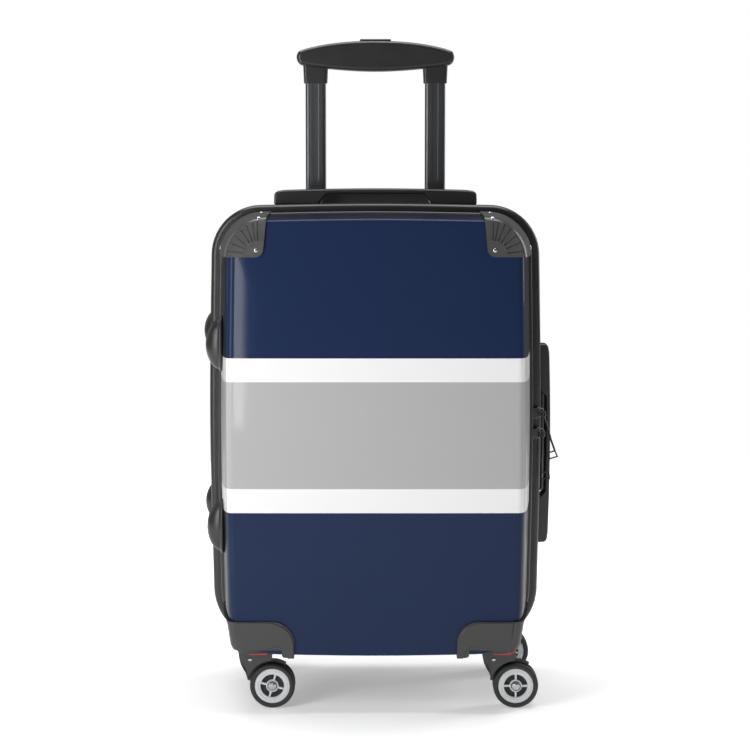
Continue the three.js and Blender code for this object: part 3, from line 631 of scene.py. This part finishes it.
def hoop(name, y0, y1, outside, inside, soft=0, steps=5):
    """A ring of the case between two depths, with its outer edges rounded."""
    piece = case_face(name, y0, outside, outside * 0.8, outside * 0.85, outside * 0.8, -1)
    inset(inside - outside)
    bpy.ops.mesh.delete(type="FACE")
    pick("FACE")
    extrude((0, y1 - y0, 0))
    outwards(piece)
    if soft:
        edit(piece)
        limit = (outside * 0.8 + inside) / 2
        pick("EDGE", lambda at, way: abs(way.y) < 0.01 and inset_at(at) < limit and
             (abs(way.x) + abs(way.z) > 0) and not crosses(at, way))
        bevel(soft, steps)
    return bowed(hold(piece))


def crosses(at, way):
    """Whether an edge runs from the outside of a ring to its inside."""
    half = Vector((way.x, 0, way.z)) / 2
    return abs(inset_at(at + half) - inset_at(at - half)) > 1.5


# ---------------------------------------------------------------- shells, frame and zip


def swivel_hole(piece, y, radius=24.6, top=92):
    for side in (-1, 1):
        x = side * SWIVEL_X
        cut(piece, drum("hole", radius, (x, y, 0), (x, y, top)))


def make_shells():
    front = case_half("front_case", FRONT_ROWS, wall=SHELL_WALL)
    swivel_hole(front, FRONT_SWIVEL_Y)
    front.data.materials.clear()
    front.data.materials.append(PRINT)
    front.data.materials.append(SATIN)
    dress(front, "front_half", None, ["front_shell"])

    back = case_half("back_case", BACK_ROWS, wall=SHELL_WALL)
    swivel_hole(back, BACK_SWIVEL_Y)
    cut(back, block("pocket_hole", (-99.5, 77.5, 528), (99.5, 112.5, 600)))
    grooves = []
    for x in (-112, -68, -22, 22, 68, 112):
        groove = drum("rib_groove", 7, (x, 122.4, 122), (x, 122.4, 470), 48)
        edit(groove)
        pick("EDGE", lambda at, way: abs(way.z) < 0.1)
        bevel(6.6, 6)
        grooves.append(hold(groove))
    cut(back, weld("rib_grooves", *grooves))
    dress(back, "back_half", BLACK_SHELL, ["back_shell"])

    ring = hoop("frame_ring", 4.1, 22.1, 0, 16, 5.6, 7)
    dress(ring, "back_half", SATIN, ["back_frame"])
    bead = hoop("piping_bead", -13.7, -8.1, 10, 16.5, 2.4, 5)
    dress(bead, "front_half", SATIN, ["front_piping"])
    front_tape = hoop("front_tape", -7.8, -2.2, 12, 14.5)
    dress(front_tape, "front_half", TAPE, ["front_zip_tape"])
    back_tape = hoop("back_tape", -1.9, 3.8, 12, 14.5)
    dress(back_tape, "back_half", TAPE, ["back_zip_tape"])


def zip_teeth(name, y, body):
    """Teeth all round one tape, copied along the case's outline."""
    path = case_face(name + "_path", y, 11.6, 9.4, 9.9, 9.3, -1)
    bpy.ops.mesh.delete(type="ONLY_FACE")
    hold(path)
    bowed(path)
    hold(path)
    bpy.ops.object.convert(target="CURVE")
    tooth = block(name, (-0.55, -0.55, -1.6), (0.55, 0.55, 1.6))
    edit(tooth)
    pick("FACE", lambda at, way: way.y < -0.9)
    resize((0.6, 1, 0.6), (0, 0, 0))
    hold(tooth)
    modify(tooth, "ARRAY", fit_type="FIT_CURVE", curve=path, use_relative_offset=False,
           use_constant_offset=True, constant_offset_displace=mm((2.1, 0, 0)))
    modify(tooth, "CURVE", object=path)
    hold(path)
    bpy.ops.object.delete()
    return dress(tooth, body, ZIP_METAL)


# ---------------------------------------------------------------- corner guards


def rivet(x, y, z, turn=(0, 0, 0)):
    """A domed rivet head, first made facing the front."""
    return primitive("uv_sphere", "rivet", (x, y, z), (5, 2.6, 5), turn, radius=0.5, segments=24, ring_count=12)


def corner_guards(half, rows, facing):
    """The covers on a half's two top corners, each with a fan of grooves in a shallow dish."""
    guard = case_half(f"{half}_guard_cover_left", rows, GAP + COVER_WALL, COVER_WALL, crown=False)
    spread = sorted((rows[0][0] + facing * 0.6, facing * 130))
    region = block("guard_region", (-220, spread[0], 501), (-120, spread[1], 570))
    edit(region)
    pick("EDGE", lambda at, way: abs(way.y) > 50 and at.x > -130 and at.z < 510)
    bevel(9, 6)
    pick("VERT", lambda at, way: at.x > -125 and at.z > 560)
    move((6 if facing < 0 else 1, 0, 0))
    cut(guard, region, "INTERSECT")
    dish = [(15.5, 0.3), (17, -0.5), (26, -1.0), (36, -0.8), (38.5, 0.3), (38.5, 3), (15.5, 3), (15.5, 0.3)]
    centre = (-126, facing * 120.1, 504)
    cut(guard, turned("dish", [(radius, facing * along) for radius, along in dish], centre, 72))
    grooves = []
    for angle in (90, 99, 111, 124, 140.5, 156, 173.9):
        along = Vector((math.cos(math.radians(angle)), math.sin(math.radians(angle))))
        across = Vector((-along.y, along.x)) * 0.6
        middle = Vector((centre[0], centre[2]))
        corners = [middle + along * r + across * s for r, s in ((15, 1.1), (35, 0.8), (35, -0.8), (15, -1.1))]
        grooves.append(traced("groove", [(p.x, p.y) for p in corners], *sorted((facing * 124, facing * 118.1))))
    cut(guard, weld("grooves", *grooves))
    heads = [
        rivet(-128, facing * 120.1, 508.5),
        rivet(-125, -117.5, 542.5, (-45, 0, 0)) if facing < 0 else rivet(-125, 115.3, 540, (54, 0, 0)),
        rivet(-126, facing * 40, 545.4 if facing < 0 else 548.9, (90, 0, 0)),
        rivet(-171.3 if facing < 0 else -177.3, facing * 40, 507, (0, 0, 90)),
    ]
    heads = weld(f"{half}_guard_rivets_left", *heads)
    twins = [(mirrored(guard, f"{half}_guard_cover_right"), "right"), (guard, "left")]
    for cover, word in twins:
        nodes = [f"corner_guard_{word}"] if facing < 0 else []
        # The corner guards take the lighter trim with its painted highlight.
        dress(cover, half + "_half", LIT_TRIM, nodes)
    for rivets in (mirrored(heads, f"{half}_guard_rivets_right"), heads):
        dress(rivets, half + "_half", CHROME)


# ---------------------------------------------------------------- wheel housings


def wheel_housing(name, rows, y):
    """A cover round the left bottom corner, swelling into the block that takes the caster's stem."""
    cover = case_half(name, rows, GAP + COVER_WALL, COVER_WALL, crown=False)
    rim = rows[0][0]
    span = sorted((rim + math.copysign(GAP, y), math.copysign(135, y)))
    region = block("housing_region", (-220, span[0], 61.5), (-89, span[1], 103))
    edit(region)
    pick("EDGE", lambda at, way: abs(way.y) > 50 and at.x > -100 and at.z > 90)
    bevel(24, 12)
    cut(cover, region, "INTERSECT")
    shape = [(-162.8, 103), (-113, 103, 2), (-98, 97.5, 7), (-89.2, 85, 8), (-89.2, 62.4), (-95.6, 62.4),
             (-98.4, 69.4, 3), (-104, 76, 3), (-111, 76, 4), (-118, 71.5, 3), (-156, 71.5), (-158.8, 77)]
    swell = traced("swell", shape, *sorted((math.copysign(54, y), math.copysign(121.4, y))))
    edit(swell)
    pick("EDGE", lambda at, way: abs(way.y) < 0.01 and abs(at.y) > 100 and at.x < -156)
    bevel(11, 8)
    pick("EDGE", lambda at, way: abs(way.y) < 0.01 and abs(at.y) > 121.3)
    bevel(1.6, 4)
    cut(swell, case_half("inside", rows, GAP, 0, crown=False))
    cut(cover, swell, "UNION")
    cut(cover, drum("swing", 50, (-SWIVEL_X, y, 0), (-SWIVEL_X, y, 71.5), 96))
    cut(cover, drum("boss", 24.2, (-SWIVEL_X, y, 66.8), (-SWIVEL_X, y, 86), 64), "UNION")
    soften(cover, 0.5, 2, 42)
    return cover


def make_housings():
    halves = (("front", FRONT_ROWS, FRONT_SWIVEL_Y), ("back", BACK_ROWS, BACK_SWIVEL_Y))
    for word, rows, y in halves:
        body = word + "_half"
        left = wheel_housing(f"{word}_wheel_cover_left", rows, y)
        right = mirrored(left, f"{word}_wheel_cover_right")
        dress(left, body, TRIM, [f"{word}_housing_left"])
        dress(right, body, TRIM, [f"{word}_housing_right"])


# ---------------------------------------------------------------- casters

AXLE = (TRAIL, 0, WHEEL_RADIUS)


def arc(centre, radius, start, end, count):
    """Points [x, z] on an arc, by angles in degrees."""
    angles = [math.radians(start + (end - start) * i / (count - 1)) for i in range(count)]
    return [(centre[0] + radius * math.cos(a), centre[1] + radius * math.sin(a)) for a in angles]


def make_fork():
    """The hooded fork, with its swivel's axis at x = 0 and its wheel trailing to the right."""
    outline = [(-17.3, 66.4, 1.5), (-15.9, 54.4, 4), (-13.1, 45.5, 6), (-8, 38.3, 3), (-5.6, 32.4)]
    outline += arc((TRAIL, WHEEL_RADIUS), 27.6, 163, 92, 12)
    outline += [(20.5, 58, 1), (20.5, 66.4, 1.8)]
    hood = traced("fork_hood", outline, -10.6, 10.6, 1.2, 3)
    web_outline = arc((TRAIL, WHEEL_RADIUS), 28.6, 58, 170, 16) + [(TRAIL - 6, 19, 3), (TRAIL + 6, 19, 3)]
    web = traced("fork_web", web_outline, -2.2, 2.2, 0.5, 2)
    collar = drum("fork_collar", 19, (0, 0, 62.6), (0, 0, 66.5), 64)
    edit(collar)
    pick("EDGE", lambda at, way: abs(way.z) < 0.01 and at.z < 64)
    bevel(1, 2)
    stem = drum("fork_stem", 5, (0, 0, 64), (0, 0, 76), 32)
    for piece in (hood, web, collar, stem):
        hold(piece)
        piece.data.materials.append(TRIM)
    strips = []
    for y in (-10.9, 10.9):
        shape = [(-4.4, 62.2), (-4.4, 60), (13, 60), (20.2, 63.6), (20.2, 65.8), (12.4, 62.2)]
        strips.append(traced("red_line", shape, y - 0.5, y + 0.5, 0.2, 2))
    pins = []
    for s in (-1, 1):
        head = [(0, s * 11.9), (1.4, s * 11.7), (2.2, s * 11), (2.2, s * 9)]
        pins.append(turned("pin", head, (-3.8, 0, 54.7), 24))
    for finish, pieces in ((RED, strips), (CHROME, pins)):
        for piece in pieces:
            piece.data.materials.append(finish)
    return weld("fork", hood, web, collar, stem, *strips, *pins)


def make_axle():
    profile = [(0, -12.9), (3, -12.8), (4.4, -12.3), (4.8, -11.4), (4.8, -10.6), (2.9, -10.6),
               (2.9, 10.6), (4.8, 10.6), (4.8, 11.4), (4.4, 12.3), (3, 12.8), (0, 12.9)]
    return turned("axle", profile, AXLE, 40)


def make_tyre(side):
    middle = side * WHEEL_OFFSET
    profile = [(19.6, -4.1), (20.6, -4.4), (22.6, -4.5), (24.1, -3.6), (24.85, -2.2), (25, 0)]
    profile += [(radius, -along) for radius, along in reversed(profile[:-1])]
    profile.append(profile[0])
    return turned("tyre", [(radius, along + middle) for radius, along in profile], AXLE, 96)


def make_hub(side):
    """A white rim, four spokes and a boss over a dark web."""
    y = side * WHEEL_OFFSET

    def ring(name, inner, outer, low, high, finish):
        soft = 0.5
        profile = [(inner, low), (outer, low), (outer, high - soft), (outer - soft, high),
                   (inner + soft, high), (inner, high - soft), (inner, low)]
        spun = turned(name, [(radius, y + side * along) for radius, along in profile], AXLE, 64)
        spun.data.materials.append(finish)
        return spun

    pieces = [
        ring("rim", 13, 19.4, -4, 4, WHITE_PLASTIC),
        ring("bead", 15.2, 17.4, 3, 4.4, WHITE_PLASTIC),
        ring("boss", 5.3, 6.9, -4, 3.8, WHITE_PLASTIC),
        ring("web", 3.3, 13.4, -3.6, 0.4, RECESS),
    ]
    for angle in range(0, 360, 90):
        a = math.radians(angle)
        along, across = Vector((math.cos(a), math.sin(a))), Vector((-math.sin(a), math.cos(a))) * 1.1
        centre = Vector((TRAIL, WHEEL_RADIUS))
        corners = [centre + along * r + across * s for r, s in ((6, 1), (14, 1), (14, -1), (6, -1))]
        low, high = sorted((y - side * 2, y + side * 3.4))
        spoke = traced("spoke", [(p.x, p.y) for p in corners], low, high, 0.4, 2)
        spoke.data.materials.append(WHITE_PLASTIC)
        pieces.append(spoke)
    return weld("hub", *pieces)


def make_casters():
    fork, axle = make_fork(), make_axle()
    wheels = {"a": (make_tyre(-1), make_hub(-1)), "b": (make_tyre(1), make_hub(1))}
    headings = (("front_left", 0, 15), ("front_right", 0, 0), ("back_left", -90, 30), ("back_right", 0, 8))
    for word, heading, spokes in headings:
        x, y, _ = [value / MM for value in JOINTS[word + "_swivel"]["pos_m"]]

        def put(piece, name, body, finish, node, spin=0):
            twin = copied(piece, f"{word}_{name}")
            if spin:
                placed(twin, turn=spin, axis="Y", about=AXLE)
            placed(twin, (x, y, 0), heading)
            dress(twin, body, finish, [f"{word}_{node}"])

        put(fork, "fork_body", word + "_fork", TRIM, "fork")
        put(axle, "axle_pin", word + "_fork", CHROME, "axle")
        for letter, (tyre, hub) in wheels.items():
            body = f"{word}_wheel_{letter}"
            put(tyre, f"tread_{letter}", body, RUBBER, f"tyre_{letter}")
            put(hub, f"wheel_{letter}", body, WHITE_PLASTIC, f"hub_{letter}", spokes)
    for piece in (fork, axle, *(piece for pair in wheels.values() for piece in pair)):
        hold(piece)
        bpy.ops.object.delete()


# ---------------------------------------------------------------- feet


def make_feet():
    for word, z in (("upper", CASE_MIDDLE + 102), ("lower", CASE_MIDDLE - 100)):
        for half, x, y, proud in (("front", -168.8, -75, 17), ("back", -176.2, 90, 23.5)):
            size = (2 * proud, 28, 56)
            name = f"{half}_{word}_foot"
            foot = primitive("uv_sphere", name, (x, y, z), size, (0, 0, 0), radius=0.5, segments=64, ring_count=32)
            flange = primitive("uv_sphere", "flange", (x, y, z), (proud * 0.7, 33, 61), (0, 0, 0), radius=0.5,
                               segments=64, ring_count=32)
            foot = weld(name, foot, flange)
            edit(foot)
            bpy.ops.mesh.select_all(action="SELECT")
            bpy.ops.mesh.bisect(plane_co=mm((x + 4, y, z)), plane_no=(1, 0, 0), use_fill=True, clear_outer=True)
            dress(foot, half + "_half", SATIN, [f"{half}_foot_{word}"])


# ---------------------------------------------------------------- telescopic handle


def make_grip():
    half = 91
    crown = [(x, GRIP_CROWN - 10.5 * (abs(x) / 86) ** 2.4) for x in range(-80, 81, 8)]
    belly = [(x, GRIP_CROWN - 35 + 6 * (abs(x) / 78) ** 1.8) for x in range(78, -79, -12)]
    ends = [(half - 2, GRIP_CROWN - 12, 2.5), (half + 0.4, GRIP_CROWN - 19, 3), (half - 3, GRIP_CROWN - 27, 3)]
    outline = crown + ends + belly + [(-x, z, r) for x, z, r in reversed(ends)]
    bar = traced("grip_bar", outline, TUBE_Y - 13, TUBE_Y + 13, 4.6, 6)
    slot = block("button_slot", (-18.4, TUBE_Y - 6.4, GRIP_CROWN - 9.8), (18.4, TUBE_Y + 6.4, GRIP_CROWN + 9))
    cut(bar, slot)
    sockets = []
    for side in (-1, 1):
        x = side * TUBE_X
        socket = block("socket", (x - 13.4, TUBE_Y - 8.7, 689), (x + 13.4, TUBE_Y + 8.7, 714))
        edit(socket)
        pick("EDGE", lambda at, way: abs(way.z) > 5)
        bevel(3.4, 4)
        pick("FACE", lambda at, way: way.z < -0.9)
        inset(1.2, 0)
        extrude((0, 0, 18))
        pick("EDGE", lambda at, way: abs(way.z) < 0.1 and at.z < 689.5)
        bevel(0.4, 2)
        pick("VERT", lambda at, way: at.z > 710)
        resize((1.08, 1.06, 1), (x, TUBE_Y, 714))
        sockets.append(hold(socket))
    grip = weld("grip_body", bar, *sockets)
    dress(grip, "upper_stage", GRIP, ["grip"])

    button = block("button", (-18, TUBE_Y - 6, GRIP_CROWN - 6.5), (18, TUBE_Y + 6, GRIP_CROWN + 2.3))
    edit(button)
    pick("EDGE", lambda at, way: abs(way.z) > 5)
    bevel(2.6, 4)
    pick("EDGE", lambda at, way: abs(way.z) < 0.1 and at.z > GRIP_CROWN)
    bevel(1.6, 4)
    hold(button)
    dress(button, "release_button", GRIP, ["release_button"])


def make_tubes():
    for word, side in (("left", -1), ("right", 1)):
        x = side * TUBE_X
        tube = block(f"stage_tube_{word}", (x - 11.75, TUBE_Y - 7, 472), (x + 11.75, TUBE_Y + 7, 708.5))
        edit(tube)
        pick("EDGE", lambda at, way: abs(way.z) > 100)
        bevel(3.5, 3)
        hold(tube)
        for y in (TUBE_Y - 7, TUBE_Y + 7):
            groove = block("groove", (x - 3.2, y - 0.7, 577), (x + 3.2, y + 0.7, 720))
            edit(groove)
            pick("EDGE", lambda at, way: abs(way.y) > 1 and at.z < 600)
            bevel(3.1, 6)
            hold(groove)
            cut(tube, groove)
        soften(tube, 0.25, 2, 50)
        dress(tube, "upper_stage", GUNMETAL, [f"upper_tube_{word}"])
        coat(f"middle_tube_{word}", GUNMETAL)
        coat(f"outer_tube_{word}", GUNMETAL)


# ---------------------------------------------------------------- carry handles


def make_carry_handles():
    half = 115
    under = HANDLE_UNDER
    crown = [(x, under + 18.4 - 2.2 * (abs(x) / half) ** 2) for x in range(-104, 105, 13)]
    outline = crown + [(half - 0.6, under + 15, 4), (half, under, 3), (65, under, 3), (55, under + 12.2, 2.5),
                       (-55, under + 12.2, 2.5), (-65, under, 3), (-half, under, 3), (-half + 0.6, under + 15, 4)]
    bar = traced("top_handle_bar", outline, 23.9, 45.9, 2.6, 5)
    legs = [block("leg", (s * 92 - 6, 29.9, under - 22), (s * 92 + 6, 39.9, under + 4)) for s in (-1, 1)]
    handle = weld("top_handle", bar, *legs)
    side = copied(handle, "side_handle")
    dress(handle, "top_carry_handle", GRIP, ["top_carry_handle"])
    placed(side, turn=90, axis="Y", about=(0, HANDLE_Y, under))
    placed(side, HANDLE_TO_SIDE)
    dress(side, "side_carry_handle", GRIP, ["side_carry_handle"])
    coat("top_plate", TRIM)
    coat("side_plate", TRIM)
    saddle = block("top_saddle", (-66, 52, 546), (66, 79, 565.6))
    edit(saddle)
    pick("VERT", lambda at, way: at.z > 560)
    resize((0.88, 0.82, 1), (0, 66, 565.6))
    pick("EDGE", lambda at, way: at.z > 547)
    bevel(3.6, 5)
    hold(saddle)
    twin = copied(saddle, "side_saddle")
    # The top saddle takes the lighter trim with its painted highlight; its copy on the side keeps the plain dark trim.
    dress(saddle, "back_half", LIT_TRIM)
    placed(twin, turn=90, axis="Y", about=(0, HANDLE_Y, under))
    placed(twin, HANDLE_TO_SIDE)
    dress(twin, "back_half", TRIM)


# ---------------------------------------------------------------- zip sliders and pulls


def make_sliders():
    skin = 176.5
    pivot_x = skin + 12.5
    rows = (("upper", CASE_MIDDLE + 15.5, -18, -1, -4.9), ("lower", CASE_MIDDLE - 7.5, 0, 1, -2))
    for word, z, lean, loop, y in rows:
        body = block(f"slider_{word}", (skin + GAP, -5.6, z - 6), (skin + 6.6, 1.6, z + 6))
        edit(body)
        pick("FACE", lambda at, way: way.x > 0.9)
        inset(1.8, 1.4)
        hold(body)
        soften(body, 0.7, 3)
        bail = wire("bail", [(skin + 7, -2, z - 4), (pivot_x + 0.6, -2, z - 1), (pivot_x + 1.7, -2, z + 2),
                             (pivot_x, -2, z + 5), (skin + 7, -2, z + 6)], 1)
        slider = weld(f"slider_{word}", body, bail)
        dress(slider, f"zip_slider_{word}", ZIP_METAL, [f"zip_slider_{word}"])

        top = z + 1.6
        x = pivot_x
        eye = [(x + 2.6 * math.cos(a), -2, top + 3.4 * math.sin(a) - 2) for a in (i * math.tau / 20 for i in range(20))]
        ring = wire("eye", eye, 1.1, True)
        rod = wire("rod", [(x, -2, top - 5), (x + 0.5, -2, top - 18), (x - 0.4, y, top - 32), (x, y, top - 46)], 1.15)
        ends = sorted((x, x + loop * 8))
        frame_points = [(ends[0], y, top - 46), (ends[1], y, top - 46), (ends[1] + 0.6, y, top - 53),
                        (ends[0] - 0.2, y, top - 53)]
        tag = wire("tag", frame_points, 1.15, True)
        pull = weld(f"pull_{word}", ring, rod, tag)
        placed(pull, turn=lean, axis="Y", about=(x, -2, top))
        dress(pull, f"zip_pull_{word}", ZIP_METAL, [f"zip_pull_{word}"])


# ---------------------------------------------------------------- inside


def crumpled(piece, depth, pitch=0.05):
    """Fine cloth-like unevenness, pushed inwards only."""
    modify(piece, "REMESH", mode="VOXEL", voxel_size=0.006)
    folds = bpy.data.textures.new(piece.name + "_folds", "CLOUDS")
    folds.noise_scale = pitch
    modify(piece, "DISPLACE", texture=folds, texture_coords="LOCAL", strength=depth * MM, mid_level=1)
    return modify(piece, "SMOOTH", iterations=3)


def lining(name, rows, y, body, node):
    """Quilted cloth over the inside of one half and over the blocks in its bottom corners."""
    cloth = case_half(name, rows, -SHELL_WALL - 0.4, 0, crown=False)
    space = case_half(name + "_space", rows, -SHELL_WALL - 1.8, 0, crown=False)
    rim = rows[0][0]
    edit(space)
    pick("FACE", lambda at, way: abs(way.y) > 0.99 and abs(at.y - rim) < 3)
    move((0, -math.copysign(18, rim), 0))
    hold(space)
    for side in (-1, 1):
        x = side * SWIVEL_X
        blocked = block("blocked", (x - 27, y - 27, 40), (x + 27, y + 27, 89.5))
        edit(blocked)
        pick("EDGE", lambda at, way: at.z > 80 or abs(way.z) > 40)
        bevel(6, 4)
        cut(space, blocked)
    if rim > 0:
        cut(space, block("tunnel", (-89.5, 79.5, 40), (89.5, 130, 560)))
        cut(space, block("pocket", (-102, 75.5, 524), (102, 130, 560)))
        cut(cloth, block("grip_room", (-94, 79.8, 527), (94, 112.6, 562)))
        for x in (-TUBE_X, TUBE_X):
            cut(cloth, block("tube_room", (x - 17, 82.4, 66), (x + 17, 107.6, 562)))
        for along in (-92, 92):
            z = CASE_MIDDLE - 23 + along
            guides = [block("guide", (along - 15, 21, 522), (along + 15, 49, 560)),
                      block("guide", (153.5, 21, z - 15), (190, 49, z + 15))]
            for guide in guides:
                edit(guide)
                pick("EDGE")
                bevel(5, 3)
                hold(guide)
                cut(space, guide)
    crumpled(space, 2.2)
    cut(cloth, space)
    dress(cloth, body, LINING, [node])
    size = (2 * (HALF_WIDTH - 15) + 2 * 96, FRAME_TOP - FRAME_BOTTOM - 20 + 2 * 96)
    mm(size)
    return cloth


def ribbon(name, at, length, width, sag, turn, thick=1.4):
    """A webbing strap that bows outwards along its length, in the XZ plane."""
    strap = block(name, (-length / 2, at - thick / 2, -width / 2), (length / 2, at + thick / 2, width / 2))
    edit(strap)
    pick("EDGE", lambda at, way: abs(way.x) > 50)
    bpy.ops.mesh.subdivide(number_cuts=31)
    mesh = bmesh.from_edit_mesh(strap.data)
    for vert in mesh.verts:
        along = vert.co.x / MM / length * 2
        vert.co.y -= sag * MM * (1 - along * along)
    bmesh.update_edit_mesh(strap.data)
    hold(strap)
    soften(strap, 0.4, 2)
    return placed(strap, (0, 0, CASE_MIDDLE), turn, "Y")


def make_inside():
    lining("front_cloth", FRONT_ROWS, FRONT_SWIVEL_Y, "front_half", "front_lining")
    lining("back_cloth", BACK_ROWS, BACK_SWIVEL_Y, "back_half", "back_lining")

    net = case_half("divider_panel", [(-18.2, 17.6, 13, 13), (-19, 17.8, 13.2, 13.2)], 0, 0, crown=False)
    dress(net, "front_half", NET, ["mesh_divider"])
    border = hoop("divider_border", -19.9, -17.7, 17.2, 31, 0.5, 2)
    dress(border, "front_half", WEBBING)
    tape = block("divider_zip_tape", (-146, -20.6, 496), (146, -19.9, 508))
    edit(tape)
    bpy.ops.mesh.select_all(action="SELECT")
    bpy.ops.mesh.subdivide(number_cuts=1)
    hold(tape)
    dress(tape, "front_half", TAPE)
    coil = wire("divider_zip", [(x, -20.9, 502) for x in (-144, -70, 0, 70, 144)], 0.9)
    dress(coil, "front_half", ZIP_METAL)
    net_size = (2 * (HALF_WIDTH - 17.6), FRAME_TOP - FRAME_BOTTOM - 24)
    mm(net_size)

    first = ribbon("strap_rising", 79.4, *WEBBING_SIZE, 3.4, -54)
    second = ribbon("strap_falling", 79.4, *WEBBING_SIZE, 1.4, 54)
    buckle = block("strap_buckle", (-21, 72.2, CASE_MIDDLE - 17), (21, 78.4, CASE_MIDDLE + 17))
    edit(buckle)
    pick("EDGE", lambda at, way: abs(way.y) > 3)
    bevel(7, 5)
    pick("FACE", lambda at, way: way.y < -0.9)
    inset(4, 0)
    inset(1.2, -1.4)
    hold(buckle)
    soften(buckle, 0.6, 2)
    dress(first, "back_half", WEBBING, ["packing_straps"])
    dress(second, "back_half", WEBBING)
    dress(buckle, "back_half", TRIM)

    strip = block("hinge_strip", (-171.4, -13, 150), (-170.2, 21, 460))
    edit(strip)
    pick("EDGE", lambda at, way: abs(way.y) > 20)
    bpy.ops.mesh.subdivide(number_cuts=19)
    pick("EDGE", lambda at, way: abs(way.z) > 200)
    bpy.ops.mesh.subdivide(number_cuts=11)
    hold(strip)
    dress(strip, "back_half", LINING)
    strip.parent = None
    mm((-171, 6, CASE_MIDDLE))
    mm((-171, -11, CASE_MIDDLE))
    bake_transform(strip)


# ---------------------------------------------------------------- floor, light and camera


def make_studio():
    floor = primitive("plane", "floor", (0, 0, -0.3), (3400, 3400, 1), size=1)
    paper = Finish("paper", (0.86, 0.86, 0.86), 0.9, emission_strength=1)
    paper.set("Roughness", 0.85 + paper.noise(3, 2) * 0.1)
    away = paper.node("VectorMath", {"operation": "LENGTH"}, paper.place, output=1).ramp(0.5, 1.3)
    paper.set("Emission Color", paper.mix(away, (0.34, 0.34, 0.34), (0.9, 0.9, 0.9)))
    floor.data.materials.append(paper.material)
    world = bpy.data.worlds.new("studio")
    bpy.context.scene.world = world
    world.use_nodes = True
    dim = world.node_tree.nodes["Background"]
    dim.inputs[0].default_value = (1, 1, 1, 1)
    dim.inputs[1].default_value = 0.12
    bright = world.node_tree.nodes.new("ShaderNodeBackground")
    bright.inputs[0].default_value = (1, 1, 1, 1)
    sight = world.node_tree.nodes.new("ShaderNodeLightPath")
    share = world.node_tree.nodes.new("ShaderNodeMixShader")
    wires = world.node_tree.links
    wires.new(sight.outputs["Is Camera Ray"], share.inputs[0])
    wires.new(dim.outputs[0], share.inputs[1])
    wires.new(bright.outputs[0], share.inputs[2])
    wires.new(share.outputs[0], world.node_tree.nodes["World Output"].inputs[0])

    def softbox(name, at, aim, size, power):
        hold()
        bpy.ops.object.light_add(type="AREA", location=at)
        light = bpy.context.object
        light.name = name
        light.data.shape = "RECTANGLE"
        light.data.size, light.data.size_y = size
        light.data.energy = power
        light.visible_camera = False
        light.rotation_euler = (Vector(aim) - Vector(at)).to_track_quat("-Z", "Y").to_euler()

    softbox("key_left", (-0.72, -0.86, 0.6), (0, 0, 0.32), (0.4, 0.9), 7.8)
    softbox("fill_right", (2.1, -2.2, 1.3), (0, 0, 0.35), (0.6, 1.8), 1.5)
    softbox("top", (0, 0.3, 2.6), (0, 0, 0.3), (2.2, 1.6), 58)
    softbox("rim_left", (-1.6, 0.8, 0.9), (0, 0, 0.35), (0.5, 1.2), 2.5)
    softbox("rim_right", (1.6, 0.8, 0.9), (0, 0, 0.35), (0.5, 1.2), 10)
    softbox("strip", (-0.36, -2.5, 0.2), (-0.14, 0, 0.4), (0.04, 0.42), 1.3)
    hold()
    bpy.ops.object.camera_add(location=(-0.0005, -2.504, 0.6465), rotation=(math.radians(83.5), 0, 0))
    camera = bpy.context.object
    camera.data.sensor_width = 36
    camera.data.lens = 107.0
    bpy.context.scene.camera = camera
    bpy.context.scene.view_settings.view_transform = "Standard"


make_shells()
zip_teeth("front_teeth", -2.9, "front_half")
zip_teeth("back_teeth", -1.1, "back_half")
corner_guards("front", FRONT_ROWS, -1)
corner_guards("back", BACK_ROWS, 1)
make_housings()
make_casters()
make_feet()
make_grip()
make_tubes()
make_carry_handles()
make_sliders()
make_inside()
hold(CAGE)
bpy.ops.object.delete()
make_studio()
